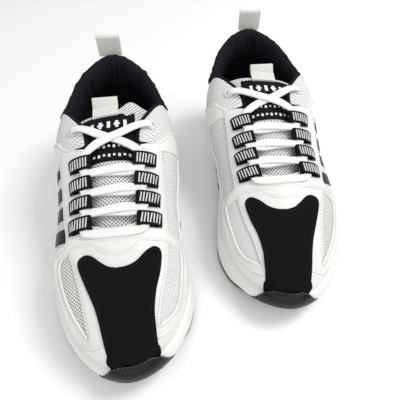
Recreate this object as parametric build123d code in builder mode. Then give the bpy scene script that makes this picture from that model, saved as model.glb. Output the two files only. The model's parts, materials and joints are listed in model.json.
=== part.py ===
"""A pair of low-cut cheer shoes: cupped foam midsoles on rubber outsoles, mesh uppers with sewn overlays, webbing
lace loops, one flat lace each, padded collars and tongues, and webbing pull tabs.

Each shoe is designed in its own frame, in millimetres: +X medial on the right shoe, -Y towards the toe, +Z up, with
the ground at Z 0. "t" is the distance from the back of the heel towards the toe, and "u" the distance across,
positive to the medial side. The left shoe mirrors the right one, and the pair stands as if just taken off.
"""

import math
import os
from functools import lru_cache

from build123d import *

# ---- driving dimensions -----------------------------------------------------------------------------------------
LENGTH = 289.0  # outsole, heel to toe
MIDDLE = LENGTH / 2
HEEL_ROUND = 42.0  # length over which the heel's plan closes
TOE_ROUND = {-1: 89.0, 1: 67.0}  # the same at the toe, lateral and medial
TOE_POWERS = {-1: (1.8, 1.9), 1: (1.7, 1.8)}
TOE_SWING, HEEL_SWING = 5.0, 2.5  # how far the toe tip and the heel stand to the medial side
SOLE_WIDTH = {  # half widths of the sole's body along t, before its ends are rounded
    -1: [(0, 41), (60, 41), (100, 43), (150, 50), (190, 55.5), (225, 56), (289, 57)],
    1: [(0, 41), (60, 41), (100, 41.5), (150, 45.5), (185, 51), (222, 55), (289, 55)],
}

UPPER_BACK, UPPER_FRONT = 5.0, 281.0
UPPER_SHARE = 0.88  # of the sole's half width, at the feather edge
BULGE = {  # how far the upper stands out over its feather edge
    -1: [(0, 0), (35, 3), (60, 9), (80, 14), (100, 15), (130, 9), (165, 3), (200, 1), (289, 0)],
    1: [(0, 0), (35, 4), (60, 11), (80, 16), (100, 17), (130, 14), (165, 6), (200, 1.5), (289, 0)],
}
BULGE_HEIGHT = [(0, 48), (60, 60), (90, 66), (130, 55), (165, 46), (200, 40), (250, 34), (289, 28)]
FEATHER_HEIGHT = [(0, 33), (100, 29), (180, 24), (230, 22.5), (289, 26)]
RIDGE_HEIGHT = [
    (0, 138), (30, 136), (50, 127), (78, 108), (95, 99.5), (112, 94.5), (131, 87.5), (147, 81), (163, 75.5),
    (181, 70.5), (200, 65.5), (215, 60.5), (240, 54), (260, 47), (275, 39), (289, 27),
]  # fmt: skip
ROUNDNESS = [(0, 1.9), (30, 2.4), (60, 2.6), (90, 2.7), (130, 2.4), (160, 2.1), (289, 2.1)]
HEEL_TILT, TILT_END, TILT_LEVEL = 8.0, 100.0, 50.0  # the heel leans forward by this, fading out along t
STATIONS = [1.2, 5, 12, 24, 42, 66, 92, 120, 150, 180, 208, 232, 252, 267, 278, 285, 288]

# layers of the upper, as offsets from the outer face of the mesh: (outer, inner)
MESH = (0.0, -1.2)
LEATHER = (1.45, 0.15)
PATCH = (2.5, 1.6)
STIFFENER = (-1.4, -2.3)
LINING = (-2.6, -3.5)
FOAM = (-3.8, -8.4)
COLLAR_SKIN = (-2.6, -9.4)

RIM = 5.0  # height of the midsole's cup above the feather edge
CUP_GAP = 2.8  # from the mesh's face to the cup
OUTSOLE_EDGE = [(0, 7), (14, 5), (60, 4), (200, 4), (230, 6), (250, 8.5), (262, 12.5), (270, 20), (275, 36)]
BUMPER_TOP = 33.5
TREAD_DEPTH, TREAD_WIDTH, TREAD_PITCH = 1.6, 2.2, 11.0
FLAT_FROM, FLAT_TO = 16.0, 214.0  # where the sole lies on the ground
TOE_SPRING, HEEL_BEVEL = 10.0, 3.0

COLLAR_LINE = [(4, 113), (10, 111.5), (28, 102), (50, 92.5), (78, 87)]
COLLAR_CORNER = 76.0
THROAT = [(45, COLLAR_CORNER - 1), (34.5, 90), (27.5, 100), (23.8, 110), (22.5, 120), (17.5, 184)]  # (u, t)
THROAT_END = 192.0
THROAT_FLOOR = 56.0
VAMP_JOIN = 190.0

LOOP_ROWS = [137.0, 153.5, 170.0, 187.0]
LOOP_CENTRE, LOOP_LENGTH, LOOP_WIDTH, WEBBING = 25.2, 17.0, 10.4, 1.1
LOOP_BORE = 3.6
LACE = 2.8  # diameter of the plain lace
EYELET_AT, EYELET_HOLE, EYELET_BORE, FLANGE = (33.6, 105.0), 3.0, 2.0, 4.4  # (u, t), then radii
LOW_CROSSING, HIGH_CROSSING = 1.2, 4.8  # heights of the two strands over the mesh's face, where they cross

TONGUE_WIDTH = [(82, 32), (95, 31), (107, 28), (130, 27.5), (150, 26), (175, 23), (200, 19)]  # half widths
TONGUE_THICK, TONGUE_EDGE_DEPTH = 5.0, 8.8  # thickness, and how far its edges lie under the mesh's face
TONGUE_DEPTH = [(82, 6.5), (100, 3.4), (120, 2.2), (165, 2.2), (188, 4.4), (200, 4.8)]  # the same along its middle
TONGUE_TOP, TONGUE_BASE = 82.0, 200.0
LABEL, LABEL_HALF, LABEL_THICK = (90.0, 134.0), 23.0, 0.9

TAB_WIDTH, TAB_THICK, TAB_LOOP = 22.0, 1.3, 4.8  # webbing width and thickness, and the loop's overall thickness
HEEL_TAB_LENGTH, TONGUE_TAB_LENGTH = 21.0, 17.0

STEP_ASIDE, STEP_BACK = 134.0, 55.0  # from the right shoe's middle to the left one's
RIGHT_YAW, LEFT_YAW = 7.5, 5.0  # toes turned towards +X


# ---- the shoe's form as formulas --------------------------------------------------------------------------------
def along(table, t):
    """A smooth curve through the table's (t, value) pairs, level outside them."""
    if t <= table[0][0]:
        return table[0][1]
    if t >= table[-1][0]:
        return table[-1][1]
    i = max(k for k in range(len(table) - 1) if table[k][0] <= t)
    slopes = []
    for k in (i, i + 1):
        a, b = table[max(k - 1, 0)], table[min(k + 1, len(table) - 1)]
        slopes.append((b[1] - a[1]) / (b[0] - a[0]))
    (t0, v0), (t1, v1) = table[i], table[i + 1]
    span = t1 - t0
    x = (t - t0) / span
    return (
        v0 * (1 + 2 * x) * (1 - x) ** 2
        + v1 * x * x * (3 - 2 * x)
        + span * x * (1 - x) * (slopes[0] * (1 - x) - slopes[1] * x)
    )


def sole_half(t, side):
    """Half width of the sole at t, measured from its swung centre line."""
    width = along(SOLE_WIDTH[side], t)
    if t < HEEL_ROUND:
        width *= math.sqrt(max(0.0, 1 - (1 - t / HEEL_ROUND) ** 2))
    start = LENGTH - TOE_ROUND[side]
    if t > start:
        power, root = TOE_POWERS[side]
        width *= max(0.0, 1 - ((t - start) / TOE_ROUND[side]) ** power) ** (1 / root)
    return width


def centre(t):
    """Where the sole's centre line stands across the shoe."""
    return TOE_SWING * max(0.0, (t - 200) / (LENGTH - 200)) ** 2 + HEEL_SWING * max(0.0, 1 - t / 90) ** 2


def upper_half(t, side, grow):
    """Half widths of the upper at its feather edge and at its widest."""
    back, front = UPPER_BACK - grow, UPPER_FRONT + grow
    share = (t - back) / (front - back) * LENGTH
    scale = 1 + grow / 44
    feather = UPPER_SHARE * sole_half(share, side) * scale
    fade = min(1.0, feather / 20)
    return feather, feather + along(BULGE[side], t) * fade * scale


def surface_height(u, t, grow=0.0):
    """Height of the upper's face over the point (u, t), forward of the collar."""
    side = 1 if u > centre(t) else -1
    wide = upper_half(t, side, grow)[1]
    low, high, power = along(BULGE_HEIGHT, t), along(RIDGE_HEIGHT, t) + grow, along(ROUNDNESS, t)
    share = min(1.0, abs(u - centre(t)) / wide)
    return low + (high - low) * (1 - share**power) ** (1 / power)


def seat(u, t, lift):
    """A frame on the upper's face at (u, t): Z outward, Y towards the heel, at "lift" over the mesh."""
    reach = 5.0
    across = Vector(2 * reach, 0, surface_height(u + reach, t) - surface_height(u - reach, t)).normalized()
    ahead = Vector(0, 2 * reach, surface_height(u, t - reach) - surface_height(u, t + reach)).normalized()
    outward = across.cross(ahead).normalized()
    point = Vector(u, MIDDLE - t, surface_height(u, t))
    return Plane(origin=point + outward * lift, x_dir=across, z_dir=outward).location


def section_points(t, grow, floor):
    """The upper's section at t, from the lateral feather edge over the top to the medial one."""
    low, high, power = along(BULGE_HEIGHT, t), along(RIDGE_HEIGHT, t) + grow, along(ROUNDNESS, t)
    base = along(FEATHER_HEIGHT, t) + floor
    lateral, medial = upper_half(t, -1, grow), upper_half(t, 1, grow)
    points = [(centre(t) - lateral[0], base), (centre(t) - (lateral[0] + lateral[1]) / 2 - 1, (base + low) / 2)]
    for step in range(11):
        angle = math.pi * step / 10
        across, up = -math.cos(angle), math.sin(angle)
        wide = lateral[1] if across < 0 else medial[1]
        x = math.copysign(abs(across) ** (2 / power), across) * wide
        points.append((centre(t) + x, low + (high - low) * up ** (2 / power)))
    points.append((centre(t) + (medial[0] + medial[1]) / 2 + 1, (base + low) / 2))
    points.append((centre(t) + medial[0], base))
    return points


def section_plane(t):
    """The plane of the section at t. It stands upright forward of the collar, and leans forward at the heel."""
    tilt = math.radians(HEEL_TILT * max(0.0, 1 - t / TILT_END))
    origin = (0, MIDDLE - t, TILT_LEVEL)
    return Plane(origin=origin, x_dir=(1, 0, 0), z_dir=(0, -math.cos(tilt), -math.sin(tilt)))


@lru_cache(maxsize=None)
def form(grow, floor=0.0):
    """The shoe's form: the solid inside a face that stands "grow" outside the mesh."""
    back, front = UPPER_BACK - grow, UPPER_FRONT + grow
    with BuildPart() as body:
        for share in STATIONS:
            t = back + share / LENGTH * (front - back)
            points = [Vector(x, z - TILT_LEVEL) for x, z in section_points(t, grow, floor)]
            even = [k / (len(points) - 1) for k in range(len(points))]  # one parameter for every section's point
            with BuildSketch(section_plane(t)):
                with BuildLine():
                    add(Edge.make_spline(points, parameters=even))
                    Line(points[-1], points[0])
                make_face()
        loft()
    return body.part


# ---- outlines ---------------------------------------------------------------------------------------------------
def plan(u, t):
    """A point of a plan outline."""
    return (u, MIDDLE - t)


def side_view(t, z):
    """A point of a side outline, on Plane.YZ."""
    return (MIDDLE - t, z)


def sole_prism(grow, height):
    """The sole's plan outline, raised from below the ground."""
    steps = 16
    with BuildPart() as prism:
        with BuildSketch(Plane.XY.offset(-5)):
            with BuildLine():
                ring = []
                for side in (-1, 1):
                    for k in range(steps):
                        turn = math.pi * k / steps
                        t = MIDDLE - side * MIDDLE * math.cos(turn)
                        half = sole_half(t, side) + grow * math.sin(turn)
                        ring.append(plan(centre(t) + side * half, t + grow * side * -math.cos(turn)))
                Spline(ring, periodic=True)
            make_face()
        extrude(amount=height + 5)
    return prism.part


def side_slab(lower, upper, width=160.0):
    """The space between two side curves, given as (t, z) points, right across the shoe."""
    with BuildPart() as slab:
        with BuildSketch(Plane.YZ):
            with BuildLine():
                a = Spline([side_view(*p) for p in lower])
                b = Spline([side_view(*p) for p in upper])
                Line(a @ 0, b @ 0)
                Line(a @ 1, b @ 1)
            make_face()
        extrude(amount=width / 2, both=True)
    return slab.part


def block(t, u, z):
    """A box between pairs of t, u and z, to keep part of a layer."""
    size = (u[1] - u[0], t[1] - t[0], z[1] - z[0])
    middle = ((u[0] + u[1]) / 2, MIDDLE - (t[0] + t[1]) / 2, (z[0] + z[1]) / 2)
    return Pos(*middle) * Box(*size)


def plan_prism(curve, closing, low=15.0, high=160.0):
    """A plan outline raised through the upper: a spline through "curve", closed by straight lines over "closing"."""
    with BuildPart() as prism:
        with BuildSketch(Plane.XY.offset(low)):
            with BuildLine():
                edge = Spline([plan(*p) for p in curve])
                Polyline(edge @ 1, *[plan(*p) for p in closing], edge @ 0)
            make_face()
        extrude(amount=high - low)
    return prism.part


def side_prism(corners, reach):
    """A side outline with straight edges, run across the shoe from X 0 to "reach"."""
    with BuildPart() as prism:
        with BuildSketch(Plane.YZ):
            with BuildLine():
                Polyline(*[side_view(*p) for p in corners], close=True)
            make_face()
        extrude(amount=reach)
    return prism.part


# ---- the foot opening: collar and throat ------------------------------------------------------------------------
with BuildPart() as opening:
    with BuildSketch(Plane.YZ):
        with BuildLine():
            rim = Spline([side_view(*p) for p in COLLAR_LINE])
            top = Polyline(
                rim @ 1, side_view(COLLAR_CORNER + 2, 180), side_view(-30, 180), side_view(-30, 115), rim @ 0
            )
        make_face()
    extrude(amount=80, both=True)
    with BuildSketch(Plane.XY.offset(THROAT_FLOOR)):
        with BuildLine():
            wing = Spline([plan(*p) for p in THROAT])
            end = ThreePointArc(wing @ 1, plan(0, THROAT_END), plan(-THROAT[-1][0], THROAT[-1][1]))
            other = Spline([plan(-u, t) for u, t in reversed(THROAT)])
            Line(other @ 1, wing @ 0)
        make_face()
    extrude(amount=180 - THROAT_FLOOR)


def shell(layer):
    """One layer of the upper, open at the foot opening and at the sole."""
    outer, inner = layer
    with BuildPart() as skin:
        add(form(outer))
        add(form(inner, floor=-1.0), mode=Mode.SUBTRACT)
        add(opening.part, mode=Mode.SUBTRACT)
    return skin.part


def cut_of(base, *keep, drop=()):
    """The part of "base" inside every shape in "keep" and outside every one in "drop"."""
    with BuildPart() as piece:
        add(base)
        for shape in keep:
            add(shape, mode=Mode.INTERSECT)
        for shape in drop:
            add(shape, mode=Mode.SUBTRACT)
    return piece


FAR = 90.0
pieces = {}

# ---- sole unit --------------------------------------------------------------------------------------------------
edge = [(-6, 8)] + OUTSOLE_EDGE
cup = form(CUP_GAP, floor=-0.4)

with BuildPart() as outsole:
    add(sole_prism(0.0, 60))
    with BuildSketch(Plane.YZ) as side_face:
        with BuildLine():
            low = Polyline(side_view(-6, HEEL_BEVEL), side_view(FLAT_FROM, 0), side_view(FLAT_TO, 0))
            toe = Spline(
                [side_view(FLAT_TO, 0), side_view(250, TOE_SPRING * 0.3), side_view(LENGTH + 6, TOE_SPRING + 2)],
                tangents=[(-1, 0), (-1, 0.3)],
            )
            high = Spline([side_view(*p) for p in edge[:-1]])
            Polyline(toe @ 1, side_view(LENGTH + 6, BUMPER_TOP), side_view(275.5, BUMPER_TOP), high @ 1)
            Line(high @ 0, low @ 0)
        make_face()
    extrude(amount=80, both=True, mode=Mode.INTERSECT)
    add(cup, mode=Mode.SUBTRACT)
    grooves = int((FLAT_TO - FLAT_FROM) / TREAD_PITCH)
    for k in range(grooves):
        with Locations((0, MIDDLE - FLAT_FROM - TREAD_PITCH * (k + 0.5), 0)):
            Box(140, TREAD_WIDTH, 2 * TREAD_DEPTH, mode=Mode.SUBTRACT)
pieces["outsole"] = outsole

with BuildPart() as midsole:
    add(sole_prism(0.0, 60))
    with BuildSketch(Plane.YZ):
        with BuildLine():
            low = Spline([side_view(t, z + 0.25) for t, z in edge[:-1]])
            rim_line = [(t, along(FEATHER_HEIGHT, t) + RIM) for t in (-6, 60, 120, 180, 225, 262)]
            high = Spline([side_view(*p) for p in rim_line])
            Polyline(high @ 1, side_view(270.5, BUMPER_TOP - 2), low @ 1)
            Line(low @ 0, high @ 0)
        make_face()
    extrude(amount=80, both=True, mode=Mode.INTERSECT)
    add(cup, mode=Mode.SUBTRACT)
pieces["midsole"] = midsole


def insole_band(low, high):
    """The space between two heights above the feather edge."""
    stops = (-8, 60, 120, 180, 230, 290)
    lower = [(t, along(FEATHER_HEIGHT, t) + low) for t in stops]
    upper = [(t, along(FEATHER_HEIGHT, t) + high) for t in stops]
    return side_slab(lower, upper)


inside = form(-3.8)
pieces["insole_board"] = cut_of(inside, insole_band(0.3, 2.3))
pieces["insole"] = cut_of(form(-4.2), insole_band(2.5, 7.5))

# ---- upper: mesh, lining and stiffeners -------------------------------------------------------------------------
mesh = shell(MESH)
eyelets = Part() + [seat(s * EYELET_AT[0], EYELET_AT[1], 0.0) * Cylinder(EYELET_HOLE, 24) for s in (-1, 1)]
pieces["vamp_mesh"] = cut_of(mesh, block((VAMP_JOIN + 0.2, 300), (-FAR, FAR), (0, 120)))
for side, name in ((-1, "lateral"), (1, "medial")):
    across = (0.15, FAR) if side == 1 else (-FAR, -0.15)
    wall = block((-20, VAMP_JOIN - 0.2), across, (0, 160))
    pieces[f"{name}_quarter_mesh"] = cut_of(mesh, wall, drop=[eyelets])

stiff = shell(STIFFENER)
counter_side = side_prism([(-10, 20), (-10, 84), (30, 82), (72, 52), (78, 20)], FAR)
counter_other = side_prism([(-10, 20), (-10, 84), (30, 82), (72, 52), (78, 20)], -FAR)
pieces["heel_counter"] = cut_of(stiff, counter_side + counter_other)
pieces["toe_puff"] = cut_of(stiff, block((246, 300), (-FAR, FAR), (0, 120)))

collar_low = [(-30, 62), (30, 62), (COLLAR_CORNER, 60)]
collar_zone = side_slab(collar_low, [(-30, 200), (30, 200), (COLLAR_CORNER, 200)])
below_collar = side_slab([(-30, 0), (30, 0), (COLLAR_CORNER, 0)], [(t, z - 0.3) for t, z in collar_low])
front = block((COLLAR_CORNER + 0.3, 300), (-FAR, FAR), (0, 160))
under = block((COLLAR_CORNER - 20, COLLAR_CORNER + 20), (-FAR, FAR), (0, 59))
pieces["lining"] = cut_of(shell(LINING), below_collar + under + front, drop=[eyelets])

padding = shell(COLLAR_SKIN)
foam_low = [(-30, 63.2), (30, 63.2), (COLLAR_CORNER - 1.2, 61.2)]
foam_high = [(-8, 116)] + [(t, z - 1.2) for t, z in COLLAR_LINE[1:-1]] + [(COLLAR_CORNER - 1.2, 86)]
foam_zone = side_slab(foam_low, foam_high)
hollow_zone = side_slab(
    [(-30, 63.0), (30, 63.0), (COLLAR_CORNER - 1.0, 61.0)],
    [(-8, 116.2)] + [(t, z - 1.0) for t, z in COLLAR_LINE[1:-1]] + [(COLLAR_CORNER - 1.0, 86.2)],
)
hollow = cut_of(shell((FOAM[0] + 0.2, FOAM[1] - 0.2)), hollow_zone)
pieces["collar_foam"] = cut_of(shell(FOAM), foam_zone)
pieces["collar_lining"] = cut_of(padding, collar_zone, drop=[hollow.part])

# ---- upper: overlays --------------------------------------------------------------------------------------------
leather = shell(LEATHER)
windows = [
    plan_prism([(-36, 204), (-43, 210.5), (-39.5, 228), (-32, 246), (-21.5, 263)], [(-26.5, 238), (-32, 217)]),
    plan_prism([(38, 203.5), (46.5, 205), (45.3, 224), (40, 247), (27, 261)], [(30, 246), (35.5, 224)]),
]
eyestay_edge = 39.0
forward = block((VAMP_JOIN + 4, 300), (-FAR, FAR), (0, 120))
pieces["vamp_overlay"] = cut_of(leather, forward, drop=windows)
stay = block((117, VAMP_JOIN + 3.8), (-eyestay_edge, eyestay_edge), (THROAT_FLOOR - 6, 160))
pieces["eyestay"] = cut_of(leather, stay)
quarter = [(37, 15), (37, 66), (60, 70), (116.6, 76), (116.6, 45), (126, 37), (193.6, 33), (193.6, 15)]
pieces["lateral_overlay"] = cut_of(leather, side_prism(quarter, -FAR), drop=[stay])
pieces["medial_overlay"] = cut_of(leather, side_prism(quarter, FAR), drop=[stay])
heel_side = [(-20, 15), (-20, 88), (6, 86), (36.6, 64), (36.6, 15)]
backstay_half = TAB_WIDTH / 2 + 0.6
heel_band = side_prism(heel_side, FAR) + side_prism(heel_side, -FAR)
heel_band += block((-20, 30), (2 - backstay_half, 2 + backstay_half), (70, 109))
pieces["heel_overlay"] = cut_of(leather, heel_band)

medial_edge = [
    (0, 222), (7, 221.3), (14, 218), (21, 211), (27.5, 207.2), (32, 211), (30.5, 225), (26.5, 239), (24.3, 252),
    (23.8, 265), (25, 276),
]  # fmt: skip
lateral_edge = [
    (0, 222), (-6, 220.3), (-12, 215.8), (-17, 211.3), (-22, 209.5), (-27, 212), (-27, 218.5), (-21, 234),
    (-16, 246), (-13, 256), (-11, 276),
]  # fmt: skip
with BuildPart() as panel_prism:
    with BuildSketch(Plane.XY.offset(15)):
        with BuildLine():
            right = Spline([plan(*p) for p in medial_edge], tangents=[(1, 0), (0, -1)])
            left = Spline([plan(*p) for p in lateral_edge], tangents=[(-1, 0), (0, -1)])
            Polyline(right @ 1, plan(25, 300), plan(-11, 300), left @ 1)
        make_face()
    extrude(amount=100)
patch = shell(PATCH)
pieces["toe_panel"] = cut_of(patch, panel_prism.part)
moon = plan_prism([(20, 200), (14.5, 207.5), (1, 212.8), (-12, 208.8), (-18, 201)], [(-17, 200), (19, 199)])
pieces["throat_patch"] = cut_of(patch, moon, drop=[panel_prism.part])

stripes = []
for t, top in ((118, 60), (136, 56), (154, 52), (172, 48)):
    stripes.append([(t, 37), (t + 8, 37), (t + 20, top), (t + 12, top)])
bars = Part() + [side_prism(stripe, reach) for stripe in stripes for reach in (FAR, -FAR)]
quarter_clear = [(t, z + 0.4) if z > 15 else (t, z) for t, z in quarter]
walls = [stay, side_prism(quarter_clear, FAR), side_prism(quarter_clear, -FAR)]
pieces["side_stripes"] = cut_of(shell((1.0, 0.15)), bars, drop=walls)

# ---- lace loops, eyelets and lace -------------------------------------------------------------------------------
lift = LEATHER[0] + 0.7 + WEBBING + LOOP_BORE / 2  # the middle of a loop's bore over the mesh
with BuildPart() as lace_loops:
    for side in (-1, 1):
        for row in LOOP_ROWS:
            across_face = seat(side * LOOP_CENTRE, row, lift) * Rot(90, 0, 0)
            with BuildSketch(Plane(across_face).offset(-LOOP_WIDTH / 2)):
                SlotOverall(LOOP_LENGTH, LOOP_BORE + 2 * WEBBING)
                SlotOverall(LOOP_LENGTH - 2 * WEBBING, LOOP_BORE, mode=Mode.SUBTRACT)
            extrude(amount=LOOP_WIDTH)
pieces["lace_loops"] = lace_loops

with BuildPart() as eyelet_rings:
    for side in (-1, 1):
        with Locations(seat(side * EYELET_AT[0], EYELET_AT[1], 0.3)):
            Cylinder(FLANGE, 0.7, align=(Align.CENTER, Align.CENTER, Align.MIN))
            Cylinder(EYELET_HOLE - 0.1, 4.6, align=(Align.CENTER, Align.CENTER, Align.MAX))
            Cylinder(EYELET_BORE, 20, mode=Mode.SUBTRACT)
pieces["eyelets"] = eyelet_rings


def through_loop(side, row):
    """Where the lace enters and leaves a loop, on its way to the heel."""
    frame = seat(side * LOOP_CENTRE, row, lift)
    inward = -side * (LOOP_LENGTH / 2 - WEBBING - LACE / 2 - 0.6)
    reach = LOOP_WIDTH / 2 + 1.5
    return [(frame * Pos(inward, -reach, 0)).position, (frame * Pos(inward, reach, 0)).position]


def strand(side):
    """Half of the lace: from the middle of its bottom bar to the tail that goes in at an eyelet."""
    first = through_loop(side, LOOP_ROWS[-1])
    bar_height = (first[0].Z + surface_height(0, MIDDLE - first[0].Y) + LOW_CROSSING) / 2
    points = [Vector(0, first[0].Y - 1.5, bar_height + 1)]
    for index, row in enumerate(reversed(LOOP_ROWS)):
        points += through_loop(side, row)
        over = (index % 2 == 0) == (side > 0)
        if index < len(LOOP_ROWS) - 1:
            ahead = through_loop(-side, LOOP_ROWS[-index - 2])[0]
        else:
            ahead = (seat(-side * EYELET_AT[0], EYELET_AT[1], 4.0)).position
        middle = (points[-1] + ahead) / 2
        height = surface_height(0, MIDDLE - middle.Y) + (HIGH_CROSSING if over else LOW_CROSSING)
        points.append(Vector(0, middle.Y, height))
        side = -side
    entry = seat(side * EYELET_AT[0], EYELET_AT[1], 0.0)
    points += [(entry * Pos(0, 0, 4.6)).position, (entry * Pos(0, 0, -7.0)).position]
    points.append(Vector(side * 44.0, MIDDLE - EYELET_AT[1], 62))
    return points


def rounded(points, radius):
    """A path through straight runs with round corners."""
    runs = []
    start = points[0]
    for before, corner, after in zip(points, points[1:], points[2:]):
        a, b = (before - corner).normalized(), (after - corner).normalized()
        opening_angle = math.acos(max(-1.0, min(1.0, a.dot(b))))
        if opening_angle > math.radians(179):
            continue
        back = radius / math.tan(opening_angle / 2)
        p, q = corner + a * back, corner + b * back
        middle = corner + (a + b).normalized() * (radius / math.sin(opening_angle / 2) - radius)
        runs.append(Edge.make_line(start, p))
        runs.append(Edge.make_three_point_arc(p, middle, q))
        start = q
    runs.append(Edge.make_line(start, points[-1]))
    return Wire(runs)


def cord(path, radius):
    """A round cord along a path."""
    return sweep(Plane(origin=path @ 0, z_dir=path % 0) * Circle(radius), path)


halves = {side: strand(side) for side in (-1, 1)}
route = list(reversed(halves[-1]))[:-1] + [halves[-1][0]] + halves[1][1:]
lace_path = rounded(route, 2.15)
pieces["lace"] = cord(lace_path, LACE / 2)
aglets = Part()
for end, before in ((route[0], route[1]), (route[-1], route[-2])):
    along_tail = Plane(origin=end + (end - before).normalized() * 0.5, z_dir=before - end)
    sleeve = Cylinder(LACE / 2 + 0.5, 11, align=(Align.CENTER, Align.CENTER, Align.MIN))
    sleeve -= Pos(0, 0, 0.5) * Cylinder(LACE / 2 + 0.05, 11, align=(Align.CENTER, Align.CENTER, Align.MIN))
    aglets += along_tail.location * sleeve
pieces["aglets"] = aglets


# ---- tongue and pull tabs ---------------------------------------------------------------------------------------
def tongue_layer(low, high, half_width, start, end):
    """A layer that follows the tongue's face, between two heights over it."""
    with BuildPart() as layer:
        for k in range(7):
            t = start + (end - start) * k / 6
            half = half_width(t)
            full = along(TONGUE_WIDTH, t)
            top = surface_height(0, t) - along(TONGUE_DEPTH, t)
            drop = (top - surface_height(full, t) + TONGUE_EDGE_DEPTH) * (half / full) ** 2
            with BuildSketch(Plane(origin=(0, MIDDLE - t, 0), x_dir=(1, 0, 0), z_dir=(0, -1, 0))):
                with BuildLine():
                    upper = ThreePointArc((-half, top - drop + high), (0, top + high), (half, top - drop + high))
                    lower = ThreePointArc((-half, top - drop + low), (0, top + low), (half, top - drop + low))
                    Line(upper @ 0, lower @ 0)
                    Line(upper @ 1, lower @ 1)
                make_face()
        loft()
    return layer


pieces["tongue"] = tongue_layer(-TONGUE_THICK, 0, lambda t: along(TONGUE_WIDTH, t), TONGUE_TOP, TONGUE_BASE)
pieces["tongue_label"] = tongue_layer(0.25, 0.25 + LABEL_THICK, lambda t: LABEL_HALF, *LABEL)


def tab(length, t, z, lean):
    """A webbing loop that stands on the point (t, z), turned back from upright by "lean"."""
    foot = Plane(origin=(centre(t) - TAB_WIDTH / 2, MIDDLE - t, z), x_dir=(0, 1, 0), z_dir=(1, 0, 0)).location
    with BuildPart() as band:
        with BuildSketch(Plane(foot * Rot(0, 0, 90 - lean) * Pos(length / 2, 0, 0))):
            SlotOverall(length, TAB_LOOP)
            SlotOverall(length - 2 * TAB_THICK, TAB_LOOP - 2 * TAB_THICK, mode=Mode.SUBTRACT)
        extrude(amount=TAB_WIDTH)
    return band


pieces["tongue_tab"] = tab(TONGUE_TAB_LENGTH, TONGUE_TOP - 0.6, surface_height(0, TONGUE_TOP) - 7.8, 62)
pieces["heel_tab"] = tab(HEEL_TAB_LENGTH, 8.4, 108.5, -5)

# ---- the pair ---------------------------------------------------------------------------------------------------
shoes = {}
for side, yaw, sign in (("right", RIGHT_YAW, -1), ("left", LEFT_YAW, 1)):
    place = Location((sign * STEP_ASIDE / 2, sign * STEP_BACK / 2, 0), (0, 0, yaw))
    for name, piece in pieces.items():
        solid = piece.part if hasattr(piece, "part") else piece
        if side == "left":
            solid = solid.mirror(Plane.YZ)
        shoes[f"{side}_{name}"] = place * Part(solid.wrapped)

box = Compound([s for s in shoes.values()]).bounding_box()
shift = Pos(-box.center().X, -box.center().Y, -box.min.Z)
os.makedirs("parts", exist_ok=True)
for name, solid in shoes.items():
    finished = shift * solid
    finished.label = name
    export_step(finished, f"parts/{name}.step")
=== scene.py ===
"""A pair of white cheer shoes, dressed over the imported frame.

Each shoe is worked out in its own millimetres: +X medial on the right shoe, -Y towards the toe, +Z up, with
the ground at Z 0. "t" runs from the back of the heel to the toe, and "u" across, positive to the medial side.
Tables with the keys -1 and 1 hold the lateral and the medial side. Curves are tables of (t, value) pairs.
"""

import json
import math
import random

import bpy
import numpy as np
from mathutils import Matrix, Vector
from mathutils.geometry import delaunay_2d_cdt


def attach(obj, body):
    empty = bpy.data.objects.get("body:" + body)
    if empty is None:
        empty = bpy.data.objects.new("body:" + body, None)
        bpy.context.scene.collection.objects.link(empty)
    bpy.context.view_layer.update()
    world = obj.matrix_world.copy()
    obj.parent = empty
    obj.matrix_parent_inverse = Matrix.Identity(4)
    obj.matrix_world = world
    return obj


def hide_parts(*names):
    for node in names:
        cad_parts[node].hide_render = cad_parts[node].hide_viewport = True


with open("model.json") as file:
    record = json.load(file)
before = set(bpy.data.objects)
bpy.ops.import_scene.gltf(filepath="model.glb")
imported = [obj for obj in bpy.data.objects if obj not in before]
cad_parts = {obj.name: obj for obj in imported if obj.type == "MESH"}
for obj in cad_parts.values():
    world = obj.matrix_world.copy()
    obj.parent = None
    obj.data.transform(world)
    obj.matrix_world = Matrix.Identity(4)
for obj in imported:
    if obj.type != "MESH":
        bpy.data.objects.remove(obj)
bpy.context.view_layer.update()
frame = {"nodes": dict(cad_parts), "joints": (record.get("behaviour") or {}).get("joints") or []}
random.seed(7)
MM = 0.001

# ---- driving dimensions, in millimetres ----
LENGTH = 289.0
MIDDLE = LENGTH / 2
HEEL_ROUND = 42.0
TOE_ROUND = {-1: 89.0, 1: 67.0}
TOE_POWERS = {-1: (1.8, 1.9), 1: (1.7, 1.8)}
TOE_SWING, HEEL_SWING = 5.0, 2.5
SOLE_WIDTH = {
    -1: [(0, 41), (60, 41), (100, 43), (150, 50), (190, 55.5), (225, 56), (289, 57)],
    1: [(0, 41), (60, 41), (100, 41.5), (150, 45.5), (185, 51), (222, 55), (289, 55)],
}
UPPER_BACK, UPPER_FRONT = 5.0, 281.0
UPPER_SHARE = 0.88
BULGE = {
    -1: [(0, 0), (35, 3), (60, 9), (80, 14), (100, 15), (130, 9), (165, 3), (200, 1), (289, 0)],
    1: [(0, 0), (35, 4), (60, 11), (80, 16), (100, 17), (130, 14), (165, 6), (200, 1.5), (289, 0)],
}
BULGE_HEIGHT = [(0, 48), (60, 60), (90, 66), (130, 55), (165, 46), (200, 40), (250, 34), (289, 28)]
FEATHER_HEIGHT = [(0, 33), (100, 29), (180, 24), (230, 22.5), (289, 26)]
RIDGE_HEIGHT = [
    (0, 138), (30, 136), (50, 127), (78, 108), (95, 99.5), (112, 94.5), (131, 87.5), (147, 81), (163, 75.5),
    (181, 70.5), (200, 65.5), (215, 60.5), (240, 54), (260, 47), (275, 39), (289, 27),
]  # fmt: skip
ROUNDNESS = [(0, 1.9), (30, 2.4), (60, 2.6), (90, 2.7), (130, 2.4), (160, 2.1), (289, 2.1)]
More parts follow.
